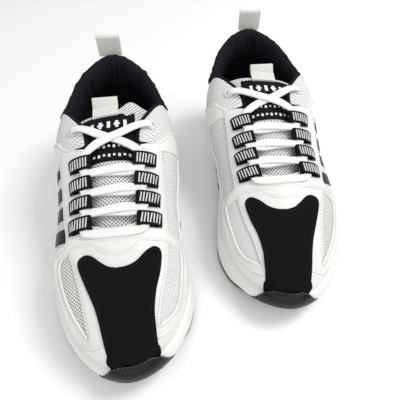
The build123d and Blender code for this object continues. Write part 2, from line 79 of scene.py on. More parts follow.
# sections lean forward by these degrees at the heel, and stand upright from the tilt's end on
HEEL_TILT, TILT_END, TILT_LEVEL = 8.0, 100.0, 50.0
RIM = [(0, 5), (222, 5), (262, 1.2), (289, 1.2)]  # of the midsole's cup, over the feather edge
OUTSOLE_EDGE = [(0, 7), (14, 5), (60, 4), (200, 4), (230, 6), (289, 6.5)]
# the bumper is full up to the first reach from its middle and gone at the second
BUMPER_REACH, BUMPER_ASIDE, BUMPER_RISE = (8.0, 43.0), 5.0, 6.0
RIB_PITCH = 2.3
# each bar: its back edge at the foot, and its width
STRIPES = [(118.0, 8.0), (136.0, 11.0), (153.0, 12.0), (173.0, 12.0)]
STRIPE_FOOT, STRIPE_SLANT = 38.0, 10.0
MEDIAL_BACK, MEDIAL_TOP = 8.0, 47.0
TOE_SPRING, FLAT_TO, HEEL_BEVEL, FLAT_FROM = 10.0, 214.0, 3.0, 16.0
COLLAR_LINE = [(4, 113), (10, 111.5), (28, 102), (50, 92.5), (78, 87)]
COLLAR_CORNER = 76.0
THROAT = [(45, COLLAR_CORNER - 1), (34.5, 90), (27.5, 100), (23.8, 110), (22.5, 120), (17.5, 184)]
THROAT_END = 192.0
LOOP_ROWS = [137.0, 153.5, 170.0, 187.0]
LOOP_CENTRE, LOOP_LENGTH, LOOP_WIDTH, WEBBING = 25.2, 17.0, 12.0, 1.0
EYELET_AT = (33.4, 104.0)
TONGUE_WIDTH = [(76, 30), (82, 32), (95, 31), (107, 28), (130, 27.5), (150, 26), (175, 23), (200, 19)]
TONGUE_THICK, TONGUE_EDGE_DEPTH = 5.0, 8.8
TONGUE_DEPTH = [(82, 7.5), (100, 3.6), (120, 1.3), (165, 1.3), (188, 3.4), (200, 4.8)]
TONGUE_TOP, TONGUE_BASE = 85.5, 200.0
TONGUE_SKEW, TONGUE_FLAP = 0.1, {"right": 7.0, "left": 0.5}  # how far its top leans and turns over
LABEL, LABEL_HALF, LABEL_ASIDE = (90.5, 136.0), 22.5, -2.5
TAB_ASIDE = {"right": -5.0, "left": -2.0}
TAB_WIDTH, TAB_THICK = 22.0, 1.3
LACE_WIDTH, LACE_THICK = 7.2, 2.2
STITCH, STITCH_GAP, THREAD = 1.2, 0.85, 0.2
SEAM_INSET = 2.0

# ---- camera and lights, in metres, the camera from a point of the left shoe's underside ----
CAMERA_OVER, CAMERA_FROM, CAMERA_LENS, CAMERA_DOWN = 140.0, (-0.0636, -0.2823, 0.299), 34.65, 48.65
FLOOR_HALF, WORLD_STRENGTH = 6.0, 0.6
LIGHTS = [("key", (0.75, 0.15, 1.25), 0.5, 10.5), ("fill", (0.0, -1.2, 1.0), 1.6, 6.5)]


# ---- the form of the upper ----
def along(table, t):
    """A smooth curve through the table's (t, value) pairs, level outside them."""
    xs, ys = np.array(table, float).T
    t = np.clip(np.asarray(t, float), xs[0], xs[-1])
    i = np.clip(np.searchsorted(xs, t, side="right") - 1, 0, len(xs) - 2)
    before = np.maximum(np.arange(len(xs)) - 1, 0)
    after = np.minimum(np.arange(len(xs)) + 1, len(xs) - 1)
    slope = (ys[after] - ys[before]) / (xs[after] - xs[before])
    span = xs[i + 1] - xs[i]
    x = (t - xs[i]) / span
    ends = ys[i] * (1 + 2 * x) * (1 - x) ** 2 + ys[i + 1] * x * x * (3 - 2 * x)
    return ends + span * x * (1 - x) * (slope[i] * (1 - x) - slope[i + 1] * x)


def sole_half(t, side):
    """Half width of the sole at t, from its swung centre line."""
    t = np.asarray(t, float)
    width = along(SOLE_WIDTH[side], t)
    heel = np.sqrt(np.maximum(0.0, 1 - (1 - np.minimum(t, HEEL_ROUND) / HEEL_ROUND) ** 2))
    power, root = TOE_POWERS[side]
    toe = np.maximum(0.0, (t - (LENGTH - TOE_ROUND[side])) / TOE_ROUND[side])
    return width * heel * np.maximum(0.0, 1 - toe**power) ** (1 / root)


def centre(t):
    """The swung centre line."""
    t = np.asarray(t, float)
    toe = TOE_SWING * np.maximum(0.0, (t - 200) / (LENGTH - 200)) ** 2
    return toe + HEEL_SWING * np.maximum(0.0, 1 - t / 90) ** 2


def upper_half(t, side):
    """Half widths of the upper at its feather edge and at its widest."""
    share = (np.asarray(t, float) - UPPER_BACK) / (UPPER_FRONT - UPPER_BACK) * LENGTH
    feather = UPPER_SHARE * sole_half(np.clip(share, 0, LENGTH), side)
    return feather, feather + along(BULGE[side], t) * np.minimum(1.0, feather / 20)


def half_at(t, z, side):
    """Half width of the upper at height z of the section at t."""
    low, high, power = along(BULGE_HEIGHT, t), along(RIDGE_HEIGHT, t), along(ROUNDNESS, t)
    feather, wide = upper_half(t, side)
    base = along(FEATHER_HEIGHT, t)
    rise = np.clip((z - low) / np.maximum(high - low, 0.1), 0, 1)
    fall = np.clip((z - base) / (low - base), -0.5, 1)
    above = wide * (1 - rise**power) ** (1 / power)
    below = feather + (wide - feather) * fall + 4 * fall * (1 - fall)
    return np.where(z >= low, above, below)


def surface_height(u, t):
    """Height of the upper's face over (u, t), forward of the collar."""
    u, t = np.asarray(u, float), np.asarray(t, float)
    wide = np.where(u > centre(t), upper_half(t, 1)[1], upper_half(t, -1)[1])
    low, high, power = along(BULGE_HEIGHT, t), along(RIDGE_HEIGHT, t), along(ROUNDNESS, t)
    share = np.minimum(1.0, np.abs(u - centre(t)) / wide)
    return low + (high - low) * (1 - share**power) ** (1 / power)


def stand(u, t, z):
    """Points of the leaning sections in the shoe's own frame."""
    tilt = np.radians(HEEL_TILT) * np.maximum(0.0, 1 - np.asarray(t, float) / TILT_END)
    up = np.asarray(z, float) - TILT_LEVEL
    place = (u, MIDDLE - t - up * np.sin(tilt), TILT_LEVEL + up * np.cos(tilt))
    return np.stack(np.broadcast_arrays(*place), -1)


class Chart:
    """A smooth sheet of points over a grid, read between its points, with its outward normals."""

    def __init__(self, a, b, points, outward):
        self.a, self.b, self.points = a, b, points
        normals = np.cross(np.gradient(points, axis=0), np.gradient(points, axis=1))
        normals /= np.linalg.norm(normals, axis=2, keepdims=True) + 1e-12
        self.normals = normals * np.sign((normals * outward).sum(2).mean())

    def blend(self, grid, a, b):
        i = np.clip((a - self.a[0]) / (self.a[1] - self.a[0]), 0, len(self.a) - 1.001)
        j = np.clip((b - self.b[0]) / (self.b[1] - self.b[0]), 0, len(self.b) - 1.001)
        i0, j0 = i.astype(int), j.astype(int)
        fi, fj = (i - i0)[:, None], (j - j0)[:, None]
        near = grid[i0, j0] * (1 - fj) + grid[i0, j0 + 1] * fj
        far = grid[i0 + 1, j0] * (1 - fj) + grid[i0 + 1, j0 + 1] * fj
        return near * (1 - fi) + far * fi

    def at(self, ab, lift=0.0):
        a, b = np.asarray(ab, float).reshape(-1, 2).T
        normal = self.blend(self.normals, a, b)
        normal /= np.linalg.norm(normal, axis=1, keepdims=True)
        return self.blend(self.points, a, b) + normal * np.reshape(lift, (-1, 1)), normal


class TopChart(Chart):
    """The instep and toe: a is the way along the ridge, b the signed girth from the ridge."""

    def __init__(self):
        t = np.linspace(92, UPPER_FRONT - 0.15, 800)
        run = np.concatenate([[0], np.cumsum(np.hypot(np.diff(t), np.diff(along(RIDGE_HEIGHT, t))))])
        self.t_list, self.run = t, run
        a = np.arange(0, run[-1], 1.0)
        stations = np.interp(a, run, t)
        self.share = np.linspace(-1, 1, 181)
        rows, self.girth = [], []
        angle = np.linspace(0, math.pi / 2, 49)
        for station in stations:
            low, high = along(BULGE_HEIGHT, station), along(RIDGE_HEIGHT, station)
            power = along(ROUNDNESS, station)
            line = []
            for side in (-1, 1):
                wide = upper_half(station, side)[1]
                x = np.sin(angle) ** (2 / power) * wide
                z = low + (high - low) * np.cos(angle) ** (2 / power)
                down = np.linspace(low, along(FEATHER_HEIGHT, station), 12)[1:]
                x = np.concatenate([x, half_at(station, down - 1e-6, side)])
                z = np.concatenate([z, down])
                girth = np.concatenate([[0], np.cumsum(np.hypot(np.diff(x), np.diff(z)))])
                line.append((girth, centre(station) + side * x, z))
            row = []
            for side, (girth, x, z) in zip((-1, 1), line):
                want = np.abs(self.share[self.share * side >= 0]) * girth[-1]
                row.append(np.stack([np.interp(want, girth, x), np.interp(want, girth, z)], 1))
            row = np.concatenate([row[0], row[1][1:]])
            self.girth.append((line[0][0][-1], line[1][0][-1]))
            rows.append(stand(row[:, 0], station, row[:, 1]))
        self.girth = np.array(self.girth)
        points = np.array(rows)
        super().__init__(a, self.share, points, np.array([0, 0, 1.0]))

    def at(self, ab, lift=0.0):
        a, b = np.asarray(ab, float).reshape(-1, 2).T
        lateral, medial = (np.interp(a, self.a, self.girth[:, k]) for k in (0, 1))
        return super().at(np.stack([a, np.where(b < 0, b / lateral, b / medial)], 1), lift)

    def find(self, u, t):
        """Chart place of a plan point."""
        a = np.interp(t, self.t_list, self.run)
        row = self.blend(self.points, np.full(181, a), self.share)
        first, last = row[:, 0].argmin(), row[:, 0].argmax()
        share = np.interp(u, row[first : last + 1, 0], self.share[first : last + 1])
        lateral, medial = (np.interp(a, self.a, self.girth[:, k]) for k in (0, 1))
        return (a, share * (lateral if share < 0 else medial))


class WallChart(Chart):
    """Heel and quarters: a is the way round from the middle of the heel, b the height up the wall."""

    def __init__(self):
        turn = np.linspace(0, 1, 1200)
        t = UPPER_BACK + (225 - UPPER_BACK) * (1 - np.cos(turn * math.pi / 2))
        self.t_list, self.run, sides = t, {}, {}
        heights = np.arange(20.0, 116.0, 1.0)
        for side in (-1, 1):
            x = half_at(t, 60.0, side)
            self.run[side] = np.concatenate([[0], np.cumsum(np.hypot(np.diff(x), np.diff(t)))])
            reach = np.arange(0, self.run[side][-1], 1.0)
            place = np.interp(reach, self.run[side], turn)
            stations = UPPER_BACK + (225 - UPPER_BACK) * (1 - np.cos(place * math.pi / 2))
            rows = [stand(centre(s) + side * half_at(s, heights, side), s, heights) for s in stations]
            sides[side] = (reach, np.array(rows))
        a = np.concatenate([-sides[-1][0][:0:-1], sides[1][0]])
        points = np.concatenate([sides[-1][1][:0:-1], sides[1][1]])
        outward = points - np.array([0, MIDDLE - 100, 60])
        super().__init__(a, heights, points, outward)

    def find(self, t, z, side):
        return (side * float(np.interp(t, self.t_list, self.run[side])), z)


TOP, WALL = TopChart(), WallChart()


# ---- outlines and sheets ----
def smooth(points, closed=False, step=1.2, sharp=()):
    """A curve through the points, with corners at those whose numbers are in "sharp"."""
    points = np.array(points, float)
    count = len(points)
    out = []
    for k in range(count if closed else count - 1):
        p1, p2 = points[k], points[(k + 1) % count]
        p0 = points[k - 1] if (closed or k > 0) and k not in sharp else p1 - (p2 - p1)
        after = (k + 2) % count if closed else min(k + 2, count - 1)
        ends = (k + 1) % count in sharp or (not closed and k + 2 > count - 1)
        p3 = p2 + (p2 - p1) if ends else points[after]
        pieces = max(1, int(np.linalg.norm(p2 - p1) / step + 0.5))
        for x in np.arange(pieces) / pieces:
            tangent1, tangent2 = (p2 - p0) / 2, (p3 - p1) / 2
            if k in sharp:
                tangent1 = p2 - p1
            if ends:
                tangent2 = p2 - p1
            out.append(
                p1 * (1 + 2 * x) * (1 - x) ** 2 + p2 * x * x * (3 - 2 * x)
                + x * (1 - x) * (tangent1 * (1 - x) - tangent2 * x)
            )  # fmt: skip
    if not closed:
        out.append(points[-1])
    return np.array(out)


def edge_distance(points, loops):
    """How far each point is from the nearest edge of the loops."""
    best = np.full(len(points), 1e9)
    for loop in loops:
        p, q = loop, np.roll(loop, -1, 0)
        for start in range(0, len(points), 4000):
            some = points[start : start + 4000, None]
            way = q - p
            share = ((some - p) * way).sum(2) / np.maximum((way * way).sum(1), 1e-12)
            near = p + np.clip(share, 0, 1)[..., None] * way
            reach = np.sqrt(((some - near) ** 2).sum(2)).min(1)
            best[start : start + 4000] = np.minimum(best[start : start + 4000], reach)
    return best


def ease(x):
    """A share kept within 0 and 1, slow at both ends."""
    x = np.clip(x, 0, 1)
    return x * x * (3 - 2 * x)


def runs(points):
    """The way run along a line, up to each of its points."""
    return np.concatenate([[0], np.cumsum(np.linalg.norm(np.diff(points, axis=0), axis=1))])


def inside(points, loop):
    """Which points lie inside the loop."""
    x, y = points[:, None, 0], points[:, None, 1]
    p, q = loop, np.roll(loop, -1, 0)
    crosses = (p[:, 1] > y) != (q[:, 1] > y)
    slope = (q[:, 0] - p[:, 0]) / np.where(q[:, 1] == p[:, 1], 1e-9, q[:, 1] - p[:, 1])
    return (crosses & (x < (y - p[:, 1]) * slope + p[:, 0])).sum(1) % 2 == 1


def area(loop):
    """Signed area, positive when the loop turns to the left."""
    x, y = loop[:, 0], loop[:, 1]
    return 0.5 * float((x * np.roll(y, -1) - y * np.roll(x, -1)).sum())


def inset(loop, distance, hole=False):
    """The loop moved inwards, or outwards from a hole."""
    way = np.roll(loop, -1, 0) - np.roll(loop, 1, 0)
    way /= np.linalg.norm(way, axis=1, keepdims=True) + 1e-12
    normal = np.stack([-way[:, 1], way[:, 0]], 1)
    if (area(loop) < 0) != hole:
        normal = -normal
    return loop + normal * distance


def triangulate(loops, rings, spacing):
    """Points and triangles over the first loop less the others, denser in rings along the edges."""
    outer = loops[0]
    extra = []
    for number, loop in enumerate(loops):
        for ring in rings:
            moved = inset(loop, ring, hole=number > 0)
            moved = moved[inside(moved, outer)]
            extra.append(moved[edge_distance(moved, loops) > ring * 0.93])
    low, high = outer.min(0), outer.max(0)
    rows = []
    for k, y in enumerate(np.arange(low[1], high[1], spacing * 0.866)):
        x = np.arange(low[0] + (k % 2) * spacing / 2, high[0], spacing)
        rows.append(np.stack([x, np.full(len(x), y)], 1))
    grid = np.concatenate(rows)
    grid = grid[inside(grid, outer)]
    grid = grid[edge_distance(grid, loops) > (rings[-1] if rings else 0) + spacing * 0.6]
    for hole in loops[1:]:
        grid = grid[~inside(grid, hole)]
        extra = [e[~inside(e, hole)] if len(e) else e for e in extra]
    points = np.concatenate(list(loops) + extra + [grid])
    edges, start = [], 0
    for loop in loops:
        edges += [(start + k, start + (k + 1) % len(loop)) for k in range(len(loop))]
        start += len(loop)
    result = delaunay_2d_cdt([Vector(p) for p in points], edges, [], 0, 1e-4)
    placed = np.array([tuple(v) for v in result[0]])
    faces = np.array([tuple(f) for f in result[2] if len(f) == 3])
    middle = placed[faces].mean(1)
    keep = inside(middle, outer)
    for hole in loops[1:]:
        keep &= ~inside(middle, hole)
    faces = faces[keep]
    p, q, r = placed[faces[:, 0]], placed[faces[:, 1]], placed[faces[:, 2]]
    flip = (q[:, 0] - p[:, 0]) * (r[:, 1] - p[:, 1]) - (q[:, 1] - p[:, 1]) * (r[:, 0] - p[:, 0]) < 0
    faces[flip] = faces[flip][:, ::-1]
    return placed, faces


def rounded_lift(distance, base, thick, radius):
    """Height over the chart of a sheet whose edge is rounded."""
    x = np.clip(distance / radius, 0, 1)
    return base + thick * np.sqrt(np.maximum(0.0, 1 - (1 - x) ** 2) * 0.94 + 0.06)


def sheet(chart, loops, base, thick, spacing=2.0, radius=0.9, seam=0.0, seam_depth=0.22, puff=0.0):
    """A closed sheet of material over a chart, with rounded edges, and a dip along its seam."""
    rings = [0.12 * radius, 0.5 * radius, radius]
    if seam:
        rings += [seam - 0.55, seam, seam + 0.55, seam + 1.6]
    flat, faces = triangulate(loops, rings, spacing)
    distance = edge_distance(flat, loops)
    lift = rounded_lift(distance, base, thick, radius)
    if seam:
        lift -= seam_depth * np.exp(-(((distance - seam) / 0.55) ** 2))
    if puff:
        lift += puff * (1 - np.exp(-((np.maximum(0, distance - seam) / 5.0) ** 2)))
    top, normal = chart.at(flat, lift)
    under, _ = chart.at(flat, base - 0.1)
    count = len(flat)
    across = np.cross(top[faces[:, 1]] - top[faces[:, 0]], top[faces[:, 2]] - top[faces[:, 0]])
    if (across * normal[faces[:, 0]]).sum() < 0:
        faces = faces[:, ::-1]
    directed = dict.fromkeys((f[k], f[(k + 1) % 3]) for f in faces for k in range(3))
    sides = [(a, b) for a, b in directed if (b, a) not in directed]
    verts = np.concatenate([top, under])
    polys = [tuple(f) for f in faces] + [tuple(f[::-1] + count) for f in faces]
    polys += [(b, a, a + count, b + count) for a, b in sides]
    return verts, polys, np.concatenate([flat, flat])


# ---- placing pieces ----
def shoe_place(side):
    """From a shoe's own millimetres to the frame, read from its tongue's hinge."""
    joint = next(j for j in frame["joints"] if j["name"] == f"{side}_tongue_tilt")
    turn = Matrix.Rotation(math.atan2(joint["axis"][1], joint["axis"][0]), 4, "Z")
    hinge = Vector((joint["pos_m"][0], joint["pos_m"][1], 0))
    origin = hinge - turn @ Vector((0, (MIDDLE - TONGUE_BASE) * MM, 0))
    mirror = Matrix.Diagonal((1 if side == "right" else -1, 1, 1, 1))
    return Matrix.Translation(origin) @ turn @ mirror @ Matrix.Scale(MM, 4)


PLACE = {side: shoe_place(side) for side in ("right", "left")}


def piece(side, name, form, material, body="shoe", replaces=(), sharp=40):
    """One finished mesh from (verts, faces[, uv]), riding on a body of its shoe."""
    verts, faces = form[:2]
    mesh = bpy.data.meshes.new(f"{side}_{name}")
    mesh.from_pydata([tuple(v) for v in verts], [], [tuple(int(i) for i in f) for f in faces])
    mesh.transform(PLACE[side])
    if side == "left":
        mesh.flip_normals()
    mesh.polygons.foreach_set("use_smooth", [True] * len(mesh.polygons))
    if sharp:
        mesh.set_sharp_from_angle(angle=math.radians(sharp))
    if len(form) > 2:
        layer = mesh.uv_layers.new(name="cloth")
        index = np.zeros(len(mesh.loops), int)
        mesh.loops.foreach_get("vertex_index", index)
        layer.data.foreach_set("uv", np.asarray(form[2], float)[index].ravel())
    mesh.validate()
    mesh.materials.append(material)
    obj = bpy.data.objects.new(f"{side}_{name}", mesh)
    bpy.context.scene.collection.objects.link(obj)
    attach(obj, f"{side}_{body}")
    if replaces:
        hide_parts(*[f"{side}_{r}" for r in replaces])
    return obj


def merge(parts):
    """Several (verts, faces[, uv]) meshes as one."""
    verts, faces, uvs, start = [], [], [], 0
    for part in parts:
        verts.append(np.asarray(part[0], float))
        faces += [tuple(int(i) + start for i in f) for f in part[1]]
        uvs.append(np.asarray(part[2], float) if len(part) > 2 else np.zeros((len(part[0]), 2)))
        start += len(part[0])
    return np.concatenate(verts), faces, np.concatenate(uvs)


def ring_faces(rows, count, closed=False):
    """Faces between rings of "count" points, from one row to the next."""
    faces = []
    for i in range(rows if closed else rows - 1):
        for j in range(count):
            k, n = (j + 1) % count, (i + 1) % rows
            faces.append((i * count + j, i * count + k, n * count + k, n * count + j))
    return faces


def capped_faces(rows, count):
    """Faces over rings of points, with the first and the last ring closed."""
    last = (rows - 1) * count
    caps = [tuple(range(count - 1, -1, -1)), tuple(last + j for j in range(count))]
    return ring_faces(rows, count) + caps


def tube(path, normals, profile):
    """A profile of (across, out) points swept along a path, flat side along the normals."""
    path, normals = np.asarray(path, float), np.asarray(normals, float)
    tangent = np.gradient(path, axis=0)
    tangent /= np.linalg.norm(tangent, axis=1, keepdims=True) + 1e-12
    normals = normals - (normals * tangent).sum(1, keepdims=True) * tangent
    normals /= np.linalg.norm(normals, axis=1, keepdims=True) + 1e-12
    across = np.cross(tangent, normals)
    profile = np.asarray(profile, float)
    if profile.ndim == 2:
        profile = np.repeat(profile[None], len(path), 0)
    count = profile.shape[1]
    verts = path[:, None] + across[:, None] * profile[..., :1] + normals[:, None] * profile[..., 1:]
    uv = np.stack(np.broadcast_arrays(runs(path)[:, None], profile[..., 0]), -1).reshape(-1, 2)
    return verts.reshape(-1, 3), capped_faces(len(path), count), uv


def pill(width, thick, points=5):
    """A flat section with round ends, counterclockwise."""
    radius = thick / 2
    out = []
    for side in (1, -1):
        for k in range(points):
            angle = math.pi * k / (points - 1) - math.pi / 2
            across = width / 2 - radius + radius * math.cos(angle)
            out.append((side * across, side * radius * math.sin(angle)))
    return np.array(out)


def even_line(points, step):
    """Points along a line at an even step."""
    points = np.asarray(points, float)
    run = runs(points)
    want = np.linspace(0, run[-1], max(2, int(run[-1] / step) + 1))
    return np.stack([np.interp(want, run, points[:, k]) for k in range(points.shape[1])], 1)


def even_loop(points, step):
    """Points round a loop at an even step."""
    return even_line(np.concatenate([points, points[:1]]), step)[:-1]


def stitch_row(spots, normals, length=STITCH, gap=STITCH_GAP, radius=THREAD):
    """Thread stitches along a row of points."""
    run = runs(spots)
    dip = np.array([-0.35, 0.02, 0.12, 0.02, -0.35])
    size = np.array([0.45, 0.9, 1.0, 0.9, 0.45])
    angles = np.arange(6) * math.pi / 3
    ring = np.stack([np.cos(angles), np.sin(angles)], 1) * radius
    parts = []
    for start in np.arange(0.4, run[-1] - length, length + gap):
        want = np.linspace(start, start + length, 5)
        path = np.stack([np.interp(want, run, spots[:, k]) for k in range(3)], 1)
        out = np.stack([np.interp(want, run, normals[:, k]) for k in range(3)], 1)
        parts.append(tube(path + out * dip[:, None], out, ring[None] * size[:, None, None]))
    return parts


def stitches(chart, line, lift):
    """Thread stitches along a chart line."""
    spots, normals = chart.at(even_line(line, 0.35), lift)
    return stitch_row(spots, normals)


# ---- materials ----
class Paint:
    """A small helper to write a material's nodes."""

    def __init__(self, name, colour, roughness=0.5, **extra):
        self.material = bpy.data.materials.new(name)
        self.material.use_nodes = True
        self.nodes, self.links = self.material.node_tree.nodes, self.material.node_tree.links
        self.shader = self.nodes["Principled BSDF"]
        self.shader.inputs["Base Color"].default_value = (*colour, 1)
        self.shader.inputs["Roughness"].default_value = roughness
        for key, value in extra.items():
            self.shader.inputs[key].default_value = value

    def add(self, kind, **values):
        node = self.nodes.new(kind)
        for key, value in values.items():
            if isinstance(value, bpy.types.NodeSocket):
                self.links.new(value, node.inputs[key])
            elif key in node.inputs.keys():
                node.inputs[key].default_value = value
            else:
                setattr(node, key, value)
        return node

    def feed(self, socket, value):
        """Link a socket, or set a plain value or colour."""
        if isinstance(value, bpy.types.NodeSocket):
            self.links.new(value, socket)
        else:
            socket.default_value = value if isinstance(value, float) else (*value, 1)

    def math(self, operation, a, b=0.0, c=0.0):
        node = self.nodes.new("ShaderNodeMath")
        node.operation = operation
        for socket, value in zip(node.inputs, (a, b, c)):
            self.feed(socket, value)
        return node.outputs[0]

    def noise(self, vector, scale):
        noise = self.add("ShaderNodeTexNoise", Vector=vector, Scale=scale, Detail=3.0, Roughness=0.55)
        return noise.outputs[0]

    def wave(self, vector, scale, way, **values):
        wave = self.add("ShaderNodeTexWave", Vector=vector, Scale=scale, bands_direction=way, **values)
        return wave.outputs["Fac"]

    def ramp(self, value, stops):
        node = self.nodes.new("ShaderNodeValToRGB")
        self.links.new(value, node.inputs[0])
        while len(node.color_ramp.elements) < len(stops):
            node.color_ramp.elements.new(0.5)
        for element, (place, colour) in zip(node.color_ramp.elements, stops):
            element.position = place
            element.color = (*colour, 1)
        return node.outputs[0]

    def mix(self, share, a, b):
        node = self.nodes.new("ShaderNodeMix")
        node.data_type = "RGBA"
        for socket, value in ((node.inputs[0], share), (node.inputs[6], a), (node.inputs[7], b)):
            self.feed(socket, value)
        return node.outputs[2]

    def colour(self, socket):
        self.links.new(socket, self.shader.inputs["Base Color"])

    def rough(self, socket):
        self.links.new(socket, self.shader.inputs["Roughness"])

    def bump(self, height, strength, distance=0.0005):
        node = self.add("ShaderNodeBump", Height=height, Strength=strength, Distance=distance)
        self.links.new(node.outputs[0], self.shader.inputs["Normal"])

    def place(self):
        return self.add("ShaderNodeTexCoord").outputs["Object"]

    def cloth(self):
        return self.add("ShaderNodeUVMap", uv_map="cloth").outputs[0]


def leather_paint(name, colour, roughness, **extra):
    """Smooth leather or film with a fine grain."""
    p = Paint(name, colour, roughness, **extra)
    place = p.place()
    grain = p.add("ShaderNodeTexVoronoi", Vector=place, Scale=1500.0).outputs["Distance"]
    fine = p.noise(place, 4200.0)
    broad = p.noise(place, 45.0)
    p.colour(p.ramp(broad, [(0.3, [c * 0.955 for c in colour]), (0.7, colour)]))
    p.rough(p.math("MULTIPLY_ADD", fine, 0.16, roughness - 0.08))
    p.bump(p.math("ADD", grain, p.math("MULTIPLY", fine, 0.6)), 0.16, 0.00025)
    return p.material


def mesh_paint(name, light, dark, spacing, hole):
    """Knit with staggered round holes, laid out in millimetres of cloth."""
    p = Paint(name, light, 0.85)
    turned = p.add("ShaderNodeMapping", Vector=p.cloth(), Rotation=(0, 0, math.pi / 4)).outputs[0]
    grid = {"Scale": 1 / spacing, "Randomness": 0.06, "voronoi_dimensions": "2D"}
    dots = p.add("ShaderNodeTexVoronoi", Vector=turned, **grid).outputs["Distance"]
    wobble = p.noise(p.place(), 900.0)
    depth = p.math("ADD", dots, p.math("MULTIPLY", p.math("SUBTRACT", wobble, 0.5), 0.14))
    limits = {"From Min": hole - 0.07, "From Max": hole + 0.07}
    share = p.add("ShaderNodeMapRange", Value=depth, **limits).outputs[0]
    yarn = p.mix(p.math("MULTIPLY", wobble, 0.5), light, [c * 0.86 for c in light])
    p.colour(p.mix(share, dark, yarn))
    p.bump(p.math("ADD", share, p.math("MULTIPLY", wobble, 0.4)), 0.5, 0.0006)
    return p.material


def textile_paint(name, colour, roughness, scale, vary, strength, **extra):
    """Woven or napped cloth and thread."""
    p = Paint(name, colour, roughness, **extra)
    place = p.place()
    warp = p.wave(place, scale / 6, "X", Distortion=2.0)
    weft = p.wave(place, scale / 6, "Z", Distortion=2.0)
    weave = p.math("MAXIMUM", warp, weft)
    fuzz = p.noise(place, scale)
    p.colour(p.mix(p.math("MULTIPLY", fuzz, vary), colour, [min(1.0, c * 1.7 + 0.001) for c in colour]))
    p.bump(p.math("ADD", weave, fuzz), strength, 0.0004)
    return p.material


def webbing_paint(name, colour, **extra):
    """Ribbed narrow webbing: ribs across the band, on its own cloth coordinates, with painted shade in the
    grooves.
    """
    p = Paint(name, colour, 0.8, **extra)
    cloth = p.cloth()
    ribs = p.wave(cloth, 1 / 1.1, "DIAGONAL", Distortion=0.6)
    fine = p.wave(cloth, 1 / 0.55, "Y", Distortion=0.5)
    height = p.math("ADD", ribs, p.math("MULTIPLY", fine, 0.5))
    # painted shade: the colour darkens to nine tenths of itself where the ribs' height is low, in the grooves
    p.colour(p.mix(p.math("MULTIPLY", height, 0.3), [c * 0.9 for c in colour], colour))
    p.bump(height, 0.5, 0.0003)
    return p.material


def lace_paint():
    """Flat woven lace, with a fine herringbone whose grooves are darkened with painted shade."""
    p = Paint("lace_weave", (0.86, 0.86, 0.85), 0.75)
    cloth = p.cloth()
    left = p.wave(cloth, 0.42, "DIAGONAL")
    flipped = p.add("ShaderNodeMapping", Vector=cloth, Scale=(1, -1, 1)).outputs[0]
    right = p.wave(flipped, 0.42, "DIAGONAL")
    height = p.math("MAXIMUM", left, right)
    # painted shade: the colour darkens from 0.88 to 0.78 where the herringbone's height is low
    p.colour(p.mix(height, (0.78, 0.78, 0.775), (0.88, 0.88, 0.87)))
    p.bump(height, 0.35, 0.0003)
    return p.material


def rubber_paint(name, colour, roughness, **extra):
    """Moulded rubber, foam or plastic."""
    p = Paint(name, colour, roughness, **extra)
    place = p.place()
    fine = p.noise(place, 1400.0)
    broad = p.noise(place, 60.0)
    p.rough(p.math("MULTIPLY_ADD", broad, 0.22, roughness - 0.11))
    p.bump(fine, 0.12, 0.0002)
    return p.material


DULL = {"Specular IOR Level": 0.1}
SATIN = {"Specular IOR Level": 0.3}
LEATHER = leather_paint("white_leather", (0.8, 0.792, 0.772), 0.42)
MESH = mesh_paint("white_mesh", (0.82, 0.82, 0.81), (0.01, 0.01, 0.01), spacing=2.1, hole=0.28)
MESH_SOFT = mesh_paint("white_mesh_soft", (0.8, 0.8, 0.79), (0.4, 0.4, 0.39), spacing=1.7, hole=0.27)
MESH_WARM = mesh_paint("warm_mesh", (0.8, 0.78, 0.73), (0.05, 0.045, 0.035), spacing=1.8, hole=0.27)
SUEDE = textile_paint("black_nubuck", (0.005, 0.005, 0.0065), 0.95, 3600.0, 0.5, 0.35, **DULL)
BLACK_CLOTH = textile_paint("black_lining", (0.01, 0.01, 0.0145), 0.95, 2400.0, 0.6, 0.5, **DULL)
BLACK_WEBBING = webbing_paint("black_webbing", (0.008, 0.008, 0.01), **DULL)
WHITE_WEBBING = webbing_paint("white_webbing", (0.8, 0.8, 0.79))
CREAM = webbing_paint("cream_webbing", (0.86, 0.845, 0.8))
LABEL_CLOTH = textile_paint("label_cloth", (0.006, 0.006, 0.009), 0.8, 3000.0, 0.4, 0.3, **DULL)
LABEL_MARK = textile_paint("label_thread", (0.8, 0.8, 0.8), 0.8, 3000.0, 0.3, 0.3)
STRIPE = leather_paint("black_film", (0.008, 0.008, 0.009), 0.4, **SATIN)
FOAM = rubber_paint("white_foam", (0.8, 0.79, 0.77), 0.5)
RUBBER = rubber_paint("black_rubber", (0.004, 0.0045, 0.006), 0.34, **SATIN)
LACE = lace_paint()
GREY_THREAD = textile_paint("grey_thread", (0.4, 0.39, 0.37), 0.8, 3000.0, 0.2, 0.3)
DARK_THREAD = textile_paint("dark_thread", (0.1, 0.1, 0.11), 0.7, 3000.0, 0.3, 0.3, **DULL)
BLACK_THREAD = textile_paint("black_thread", (0.03, 0.03, 0.036), 0.7, 3000.0, 0.4, 0.3, **DULL)
RING = rubber_paint("eyelet_ring", (0.7, 0.74, 0.8), 0.3)
CLEAR_TIP = rubber_paint("lace_tip", (0.8, 0.8, 0.8), 0.25)


def sew(side, name, threads, material=GREY_THREAD):
    """Stitches as one piece, without cloth coordinates."""
    piece(side, f"{name}_stitching", merge(threads)[:2], material, sharp=0)


